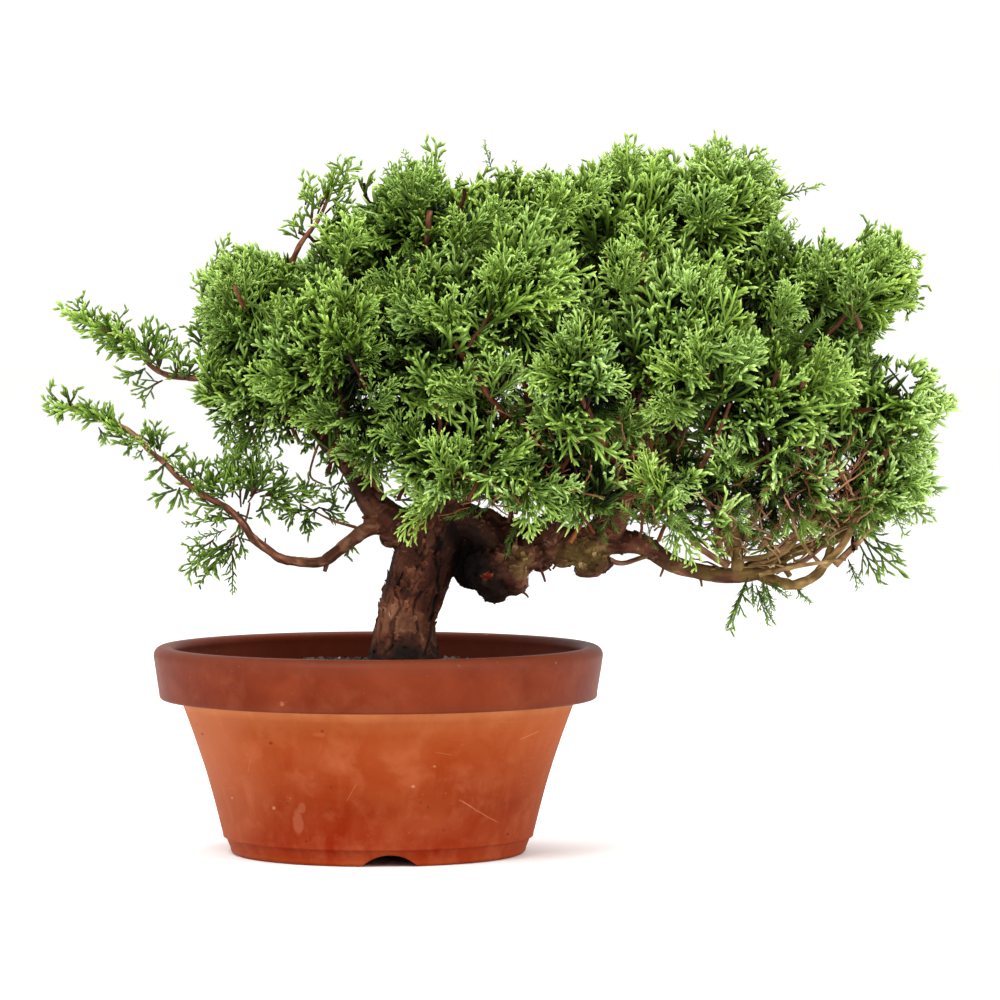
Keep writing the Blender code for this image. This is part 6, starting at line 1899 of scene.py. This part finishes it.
    m.link(colour, m.shader.inputs["Base Color"])
    rough = m.math("ADD", m.math("MULTIPLY", is_collar, -0.26), m.math("ADD", 0.66, m.math("MULTIPLY", cloud2, 0.14)))
    m.link(rough, m.shader.inputs["Roughness"])
    m.shader.inputs["Specular IOR Level"].default_value = 0.07
    bump = m.new("ShaderNodeBump")
    bump.inputs["Strength"].default_value = 0.35
    bump.inputs["Distance"].default_value = 0.0005
    relief = m.math("ADD", m.math("MULTIPLY", grain, 0.8), m.math("MULTIPLY", fine, 0.5))
    relief = m.math("SUBTRACT", relief, m.math("MULTIPLY", pit, 0.9))
    m.link(relief, bump.inputs["Height"])
    m.link(bump.outputs["Normal"], m.shader.inputs["Normal"])
    return m.mat


pot = make_mesh("terracotta_pot", pot_v, pot_q, pot_uv, terracotta())
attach(pot, "root")
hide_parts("pot")

# --------------------------------------------------------------------- soil
def soil_height(r):
    return np.interp(r, [0, 34, 60, 84, 105.4], [100.3, 100.0, 98.1, 96.3, 95.7])


rings, spokes = 60, 220
rr = np.linspace(0.5, 105.3, rings)
tt = np.arange(spokes) * 2 * math.pi / spokes
x = rr[:, None] * np.cos(tt)[None]
y = rr[:, None] * np.sin(tt)[None]
z = soil_height(rr)[:, None] + np.zeros_like(x)
soil_v = np.stack([x, y, z], -1).reshape(-1, 3)
soil_v[:, 2] += 0.9 * fbm(soil_v / 5.0, 4, 91) - 0.9
k = (np.arange(rings - 1) * spokes)[:, None]
j = np.arange(spokes)[None]
j2 = ((np.arange(spokes) + 1) % spokes)[None]
soil_q = np.stack([k + j, k + spokes + j, k + spokes + j2, k + j2], -1).reshape(-1, 4)
centre = np.arange(spokes)[None]
hub = [[0, i + 1, i + 2, i + 3] for i in range(0, spokes - 3, 2)]
soil_q = np.concatenate([soil_q, np.array(hub)])
side_v = np.stack([105.2 * np.cos(tt), 105.2 * np.sin(tt), np.full(spokes, 95.0)], -1)
soil_parts = [(soil_v, soil_q, np.stack([0.22 + 0.14 * fbm(soil_v / 2.5, 3, 92), 0.5 + 0.3 * noise3(soil_v / 7.0, 93)], -1))]
# loose grit and bark crumbs
count = 6200
r = 104.0 * np.sqrt(rng.random(count))
t = rng.uniform(0, 2 * math.pi, count)
gx, gy = r * np.cos(t), r * np.sin(t)
size = rng.gamma(4.0, 0.42, count).clip(0.7, 3.8)
gz = soil_height(r) + size * rng.uniform(-0.35, 0.35, count) - 0.3
keep = np.hypot(gx - 13, gy) > 18.5
gx, gy, gz, size = gx[keep], gy[keep], gz[keep], size[keep]
count = len(gx)
corner = np.array([[-1, -1, -1], [1, -1, -1], [1, 1, -1], [-1, 1, -1], [-1, -1, 1], [1, -1, 1], [1, 1, 1], [-1, 1, 1]], float)
faces = np.array([[0, 3, 2, 1], [4, 5, 6, 7], [0, 1, 5, 4], [1, 2, 6, 5], [2, 3, 7, 6], [3, 0, 4, 7]])
shape = corner[None] * rng.uniform(0.45, 1.0, (count, 1, 3)) * rng.uniform(0.72, 1.1, (count, 8, 1)) * 0.58
axis = unit(rng.normal(0, 1, (count, 3)))
angle = rng.uniform(0, math.pi, count)
grit = np.stack([turn(shape[:, i], axis, angle) for i in range(8)], 1) * size[:, None, None]
grit = grit + np.stack([gx, gy, gz], -1)[:, None]
grit_q = (faces[None] + (np.arange(count) * 8)[:, None, None]).reshape(-1, 4)
tone_g = rng.choice([0.14, 0.24, 0.34, 0.5, 0.7], count, p=[0.32, 0.34, 0.2, 0.11, 0.03]) + rng.normal(0, 0.04, count)
kind_g = rng.uniform(0.05, 0.95, count)
guv = np.stack([tone_g[:, None] + 0.012 * corner[None, :, 0] + 0.008 * corner[None, :, 1],
                kind_g[:, None] + 0.012 * corner[None, :, 2] + 0.006 * corner[None, :, 1]], -1)
soil_parts.append((grit.reshape(-1, 3), grit_q, np.clip(guv.reshape(-1, 2), 0.02, 0.98)))
v, q, uv = joined(soil_parts)


def soil_material():
    m = Nodes("potting_mix")
    uv = m.new("ShaderNodeUVMap", uv_map="OFBake").outputs["UV"]
    sep = m.new("ShaderNodeSeparateXYZ")
    m.link(uv, sep.inputs[0])
    u, v = sep.outputs["X"], sep.outputs["Y"]
    brown = m.ramp(u, [(0.0, srgb(14, 9, 7)), (0.3, srgb(46, 30, 22)), (0.6, srgb(98, 68, 48)), (1.0, srgb(170, 138, 106))])
    grey = m.ramp(u, [(0.0, srgb(14, 12, 11)), (0.3, srgb(48, 42, 38)), (0.6, srgb(104, 94, 84)), (1.0, srgb(186, 174, 156))])
    m.link(m.mix(m.ramp(v, [(0.45, (0, 0, 0, 1)), (0.6, (1, 1, 1, 1))]), brown, grey), m.shader.inputs["Base Color"])
    coord = m.new("ShaderNodeTexCoord").outputs["Object"]
    bump = m.new("ShaderNodeBump")
    bump.inputs["Strength"].default_value = 0.6
    bump.inputs["Distance"].default_value = 0.0005
    m.link(m.noise(coord, 1400.0, 4, 0.6), bump.inputs["Height"])
    m.link(bump.outputs["Normal"], m.shader.inputs["Normal"])
    m.shader.inputs["Roughness"].default_value = 0.92
    return m.mat


soil = make_mesh("potting_mix_top", v, q, uv, soil_material(), smooth=False)
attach(soil, "root")
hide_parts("soil")

# ---------------------------------------------------------------- drain net
net = Nodes("net_plastic_fine")
coord = net.new("ShaderNodeTexCoord").outputs["Object"]
mottle = net.noise(coord, 320.0, 4, 0.6)
net.link(net.ramp(mottle, [(0.3, srgb(26, 38, 32)), (0.7, srgb(52, 66, 56))]), net.shader.inputs["Base Color"])
net.shader.inputs["Roughness"].default_value = 0.55
bump = net.new("ShaderNodeBump")
bump.inputs["Strength"].default_value = 0.3
bump.inputs["Distance"].default_value = 0.0003
net.link(net.noise(coord, 1800.0, 3), bump.inputs["Height"])
net.link(bump.outputs["Normal"], net.shader.inputs["Normal"])
mesh_node = frame["nodes"]["drain_mesh"]
mesh_node.data.materials.clear()
mesh_node.data.materials.append(net.mat)

# --------------------------------------------------------------- the studio
floor_mat = Nodes("studio_floor")
floor_mat.shader.inputs["Base Color"].default_value = srgb(246, 246, 245)
floor_mat.shader.inputs["Roughness"].default_value = 0.9
bpy.ops.mesh.primitive_plane_add(size=30.0, location=(0, 0, -0.0002))
floor = bpy.context.object
floor.name = "studio_floor"
floor.data.materials.append(floor_mat.mat)

world_data = bpy.data.worlds.new("studio")
bpy.context.scene.world = world_data
world_data.use_nodes = True
world_data.node_tree.nodes["Background"].inputs["Color"].default_value = (1, 1, 1, 1)
world_data.node_tree.nodes["Background"].inputs["Strength"].default_value = 1.08


def area_light(name, location, target, size, power, colour=(1, 1, 1)):
    data = bpy.data.lights.new(name, "AREA")
    data.shape = "DISK"
    data.size = size
    data.energy = power
    data.color = colour
    obj = bpy.data.objects.new(name, data)
    obj.location = location
    obj.rotation_euler = (Vector(target) - Vector(location)).to_track_quat("-Z", "Y").to_euler()
    bpy.context.scene.collection.objects.link(obj)
    return obj


area_light("key_light", (-0.9, -1.9, 2.2), (0, 0, 0.2), 1.3, 62)
area_light("fill_light", (1.6, -1.6, 1.3), (0, 0, 0.2), 1.2, 24)
area_light("top_light", (0.2, 0.9, 2.4), (0, 0, 0.2), 1.6, 36)

scene = bpy.context.scene
scene.view_settings.view_transform = "Standard"

camera_data = bpy.data.cameras.new("camera")
camera_data.sensor_width = 36.0
camera_data.lens = 202.7
camera_data.clip_start = 0.05
camera_data.clip_end = 60.0
camera = bpy.data.objects.new("camera", camera_data)
scene.collection.objects.link(camera)
eye, aim = Vector(world((65, -3000, 311))), Vector(world((65, 0, 188)))
camera.location = eye
camera.rotation_euler = (aim - eye).to_track_quat("-Z", "Y").to_euler()
scene.camera = camera
